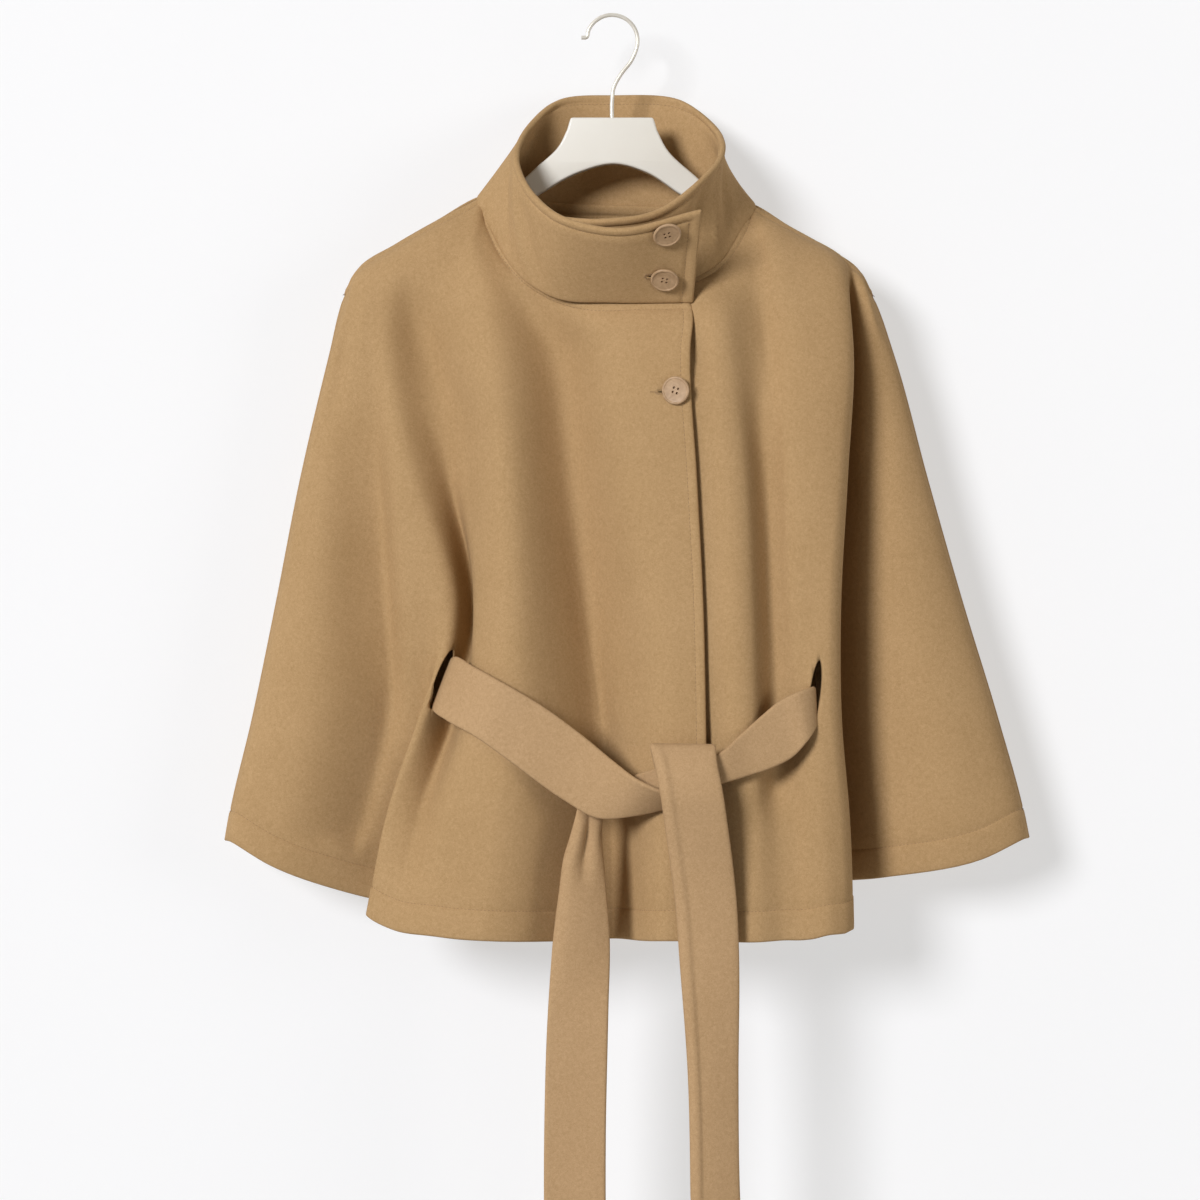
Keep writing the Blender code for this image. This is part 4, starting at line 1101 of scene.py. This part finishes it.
BELT_LOOP = (
    Across("behind", (36, -93, -612), (84, -93, -611)),
    Across("up", (32, -94.6, -594), (81, -95, -594)),
    Across("top", (29, -105, -579), (80, -104.6, -579.6)),
    Across("over", (33, -114.2, -592), (81, -113.6, -592), LOOP_ROLL),
    Across("knot", (37, -119, -613), (85, -118, -613), LOOP_ROLL),
    Across("below", (41, -114, -640), (89, -113, -640), LOOP_ROLL),
    Across("fall", (45, -107, -668), (93, -106, -668), LOOP_ROLL),
    Across("hip", (50, -103, -707), (97, -100, -707), LOOP_ROLL),
    Across("hem", (53, -103, -745), (98.5, -98, -745), LOOP_ROLL),
    Across("tail", (60, -105, -835), (98, -95, -835), LOOP_ROLL),
    Across("low_tail", (62, -106, -924), (99, -95, -924), LOOP_ROLL),
    Across("end", (62, -105, -1003), (103, -96, -1003)),
)
BELT_TAIL = (
    Across("behind", (-27, -86, -627), (-7, -80, -627)),
    Across("neck", (-31, -89, -648), (-7, -81, -650), TAIL_ROLL),
    Across("open", (-37, -91, -667), (-6, -86, -669), TAIL_ROLL),
    Across("wide", (-41, -91, -692), (-5, -91, -692), TAIL_TURNED),
    Across("hem", (-46, -92, -731), (-2, -92, -731), TAIL_TURNED),
    Across("tail", (-50, -92, -784), (-3, -92, -784)),
    Across("low_tail", (-53, -92, -880), (-5, -92, -880)),
    Across("end", (-53, -92, -985), (-5, -92, -985)),
)


def belt_grid(table, axis):
    spans = len(table) - 1
    spots = [even_shares(BELT_STEPS)] * spans
    spots[0] = [0, 0.02, 0.06, 0.15, 0.3, 0.45, 0.6, 0.8]
    spots[-1] = [0, 0.2, 0.4, 0.6, 0.8, 0.93, 0.975, 0.99]
    upper = smooth([across.upper for across in table], spots)
    lower = smooth([across.lower for across in table], spots)
    share = np.array(BELT_COLUMNS)[None, :, None]
    grid = upper[:, None] * (1 - share) + lower[:, None] * share
    rolls = np.array([np.interp(BELT_COLUMNS, *zip(*across.roll)) for across in table])
    place = np.concatenate([i + np.array(spot) for i, spot in enumerate(spots)] + [[spans]])
    rolled = [np.interp(place, range(len(table)), roll) for roll in rolls.T]
    return grid + normals(grid, axis) * np.array(rolled).T[..., None]


# the belt's wool, its colours painted lighter than the cape's for the light the belt catches
lit_belt_wool = felted_wool("lit_belt_wool", LIT_BELT_DARK, LIT_BELT_LIGHT)
for name, table, node, axis, flat, held, rests in (
        ("belt_right_cloth", BAND_RIGHT, "belt_band_right", BEHIND, (0.049, 0.236), "hung",
         ["front_right_cloth"]),
        ("belt_left_cloth", BAND_LEFT, "belt_band_left", BEHIND, (0.049, 0.140), "gathered",
         ["front_left_cloth"]),
        ("belt_back_cloth", BELT_BACK, "belt_back", BEFORE, (0.049, 0.275), "hung",
         ["front_right_cloth"]),
        ("belt_loop_cloth", BELT_LOOP, "belt_loop", BEHIND, (0.049, 0.415), "folded",
         ["belt_left_cloth"]),
        ("belt_tail_cloth", BELT_TAIL, "belt_tail", BEHIND, (0.049, 0.335), "hung",
         ["belt_right_cloth"])):
    grid = belt_grid(table, axis)
    half = np.full(grid.shape[:2], BELT_WALL / 2)
    piece = shown(name, cloth_mesh(name, grid, half, axis), lit_belt_wool, "wool", node)


# ---------------------------------------------------------------- the buttons
# Three 22 mm buttons of pale horn-like resin, turned with a raised rim round a shallow dish
# and drilled with four holes. Each stands on a wound thread shank, but no thread is drawn through the
# holes.
BUTTON_RADIUS = 11.1
BUTTON_THICK = 3.2
BUTTON_SHANK = 1.7
SHANK_RADIUS = 1.4
RIM_INNER = 9.4
DISH_DEPTH = 0.7
BUTTON_STEPS = 56
BUTTON_SUNK = 0.3             # how far the thread shank goes into the cloth
RESIN_DARK, RESIN_LIGHT = (0.35, 0.222, 0.118, 1), (0.49, 0.325, 0.185, 1)
HOLE_RADIUS, HOLE_RING = 1.0, 2.5
button_front_z = BUTTON_SHANK + BUTTON_THICK
BUTTON_PROFILE = (
    (0.0, button_front_z - DISH_DEPTH), (5.0, button_front_z - DISH_DEPTH),
    (8.2, button_front_z - DISH_DEPTH * 0.95), (9.0, button_front_z - DISH_DEPTH * 0.8),
    (RIM_INNER, button_front_z - 0.12), (9.8, button_front_z), (10.3, button_front_z - 0.1),
    (10.8, button_front_z - 0.45), (11.02, button_front_z - 0.9),
    (BUTTON_RADIUS, button_front_z - 1.3), (10.9, button_front_z - 1.8),
    (10.3, button_front_z - 2.4), (9.2, BUTTON_SHANK + 0.2), (8.0, BUTTON_SHANK),
    (SHANK_RADIUS, BUTTON_SHANK), (SHANK_RADIUS, 0.0), (0.0, 0.0))

resin = mottled("horn_resin", RESIN_DARK, RESIN_LIGHT,
                {"Roughness": 0.45, "Specular IOR Level": 0.3, "Coat Weight": 0.04,
                 "Coat Roughness": 0.12}, 120, detail=5, twist=1.6, low=0.3, high=0.72)


def turned_mesh(name, profile, steps):
    """A profile turned round Z."""
    shape = bmesh.new()
    line = [shape.verts.new((x * MM, 0, z * MM)) for x, z in profile]
    edges = [shape.edges.new(pair) for pair in zip(line, line[1:])]
    bmesh.ops.spin(shape, geom=line + edges, cent=(0, 0, 0), axis=(0, 0, 1), angle=2 * pi,
                   steps=steps, use_merge=True)
    bmesh.ops.remove_doubles(shape, verts=shape.verts, dist=0.000005)
    bmesh.ops.recalc_face_normals(shape, faces=shape.faces)
    mesh = bpy.data.meshes.new(name)
    shape.to_mesh(mesh)
    shape.free()
    return mesh


# place: x and z of the middle; faces: the way it looks, a little down on the leaning collar
Sewn = namedtuple("Sewn", "name cloth place faces spin")
BUTTONS = (
    Sewn("button_collar_top", collar_faces[0][:, :FLAP_COLUMNS], (42.3, -184.6),
         (0.17, -0.69, -0.70), 22),
    Sewn("button_collar_low", collar_faces[0][:, :FLAP_COLUMNS], (40.8, -217.3),
         (-0.09, -0.70, -0.71), -14),
    Sewn("button_front", right_face[:, :FRONT_COLUMNS], (49.3, -303.3), (-0.28, -0.96, -0.05), -17),
)
for sewn in BUTTONS:
    facing = Vector(sewn.faces).normalized()
    out = button_front_z - BUTTON_THICK / 2
    foot = Vector(on_face(sewn.cloth, sewn.place[0] - facing.x * out, sewn.place[1] - facing.z * out))
    turn = facing.to_track_quat("Z", "Y").to_matrix().to_4x4()
    turn = turn @ Matrix.Rotation(radians(sewn.spin), 4, "Z")
    seat = Matrix.Translation((foot - facing * BUTTON_SUNK) * MM) @ turn
    mesh = turned_mesh(sewn.name + "_turned", BUTTON_PROFILE, BUTTON_STEPS)
    for number in range(4):
        angle = (number + 0.5) * pi / 2
        spot = (HOLE_RING * cos(angle), HOLE_RING * sin(angle), button_front_z)
        drill = Slit(spot, (0, 1, 0), (0, 0, 1))
        mesh = cut_through(mesh, drill, HOLE_RADIUS * 2, HOLE_RADIUS * 2, BUTTON_THICK * 1.7)
    mesh.transform(seat)
    mesh.shade_smooth()
    mesh.set_sharp_from_angle(angle=radians(35))
    shown(sewn.name + "_turned", mesh, resin, "button", sewn.name)
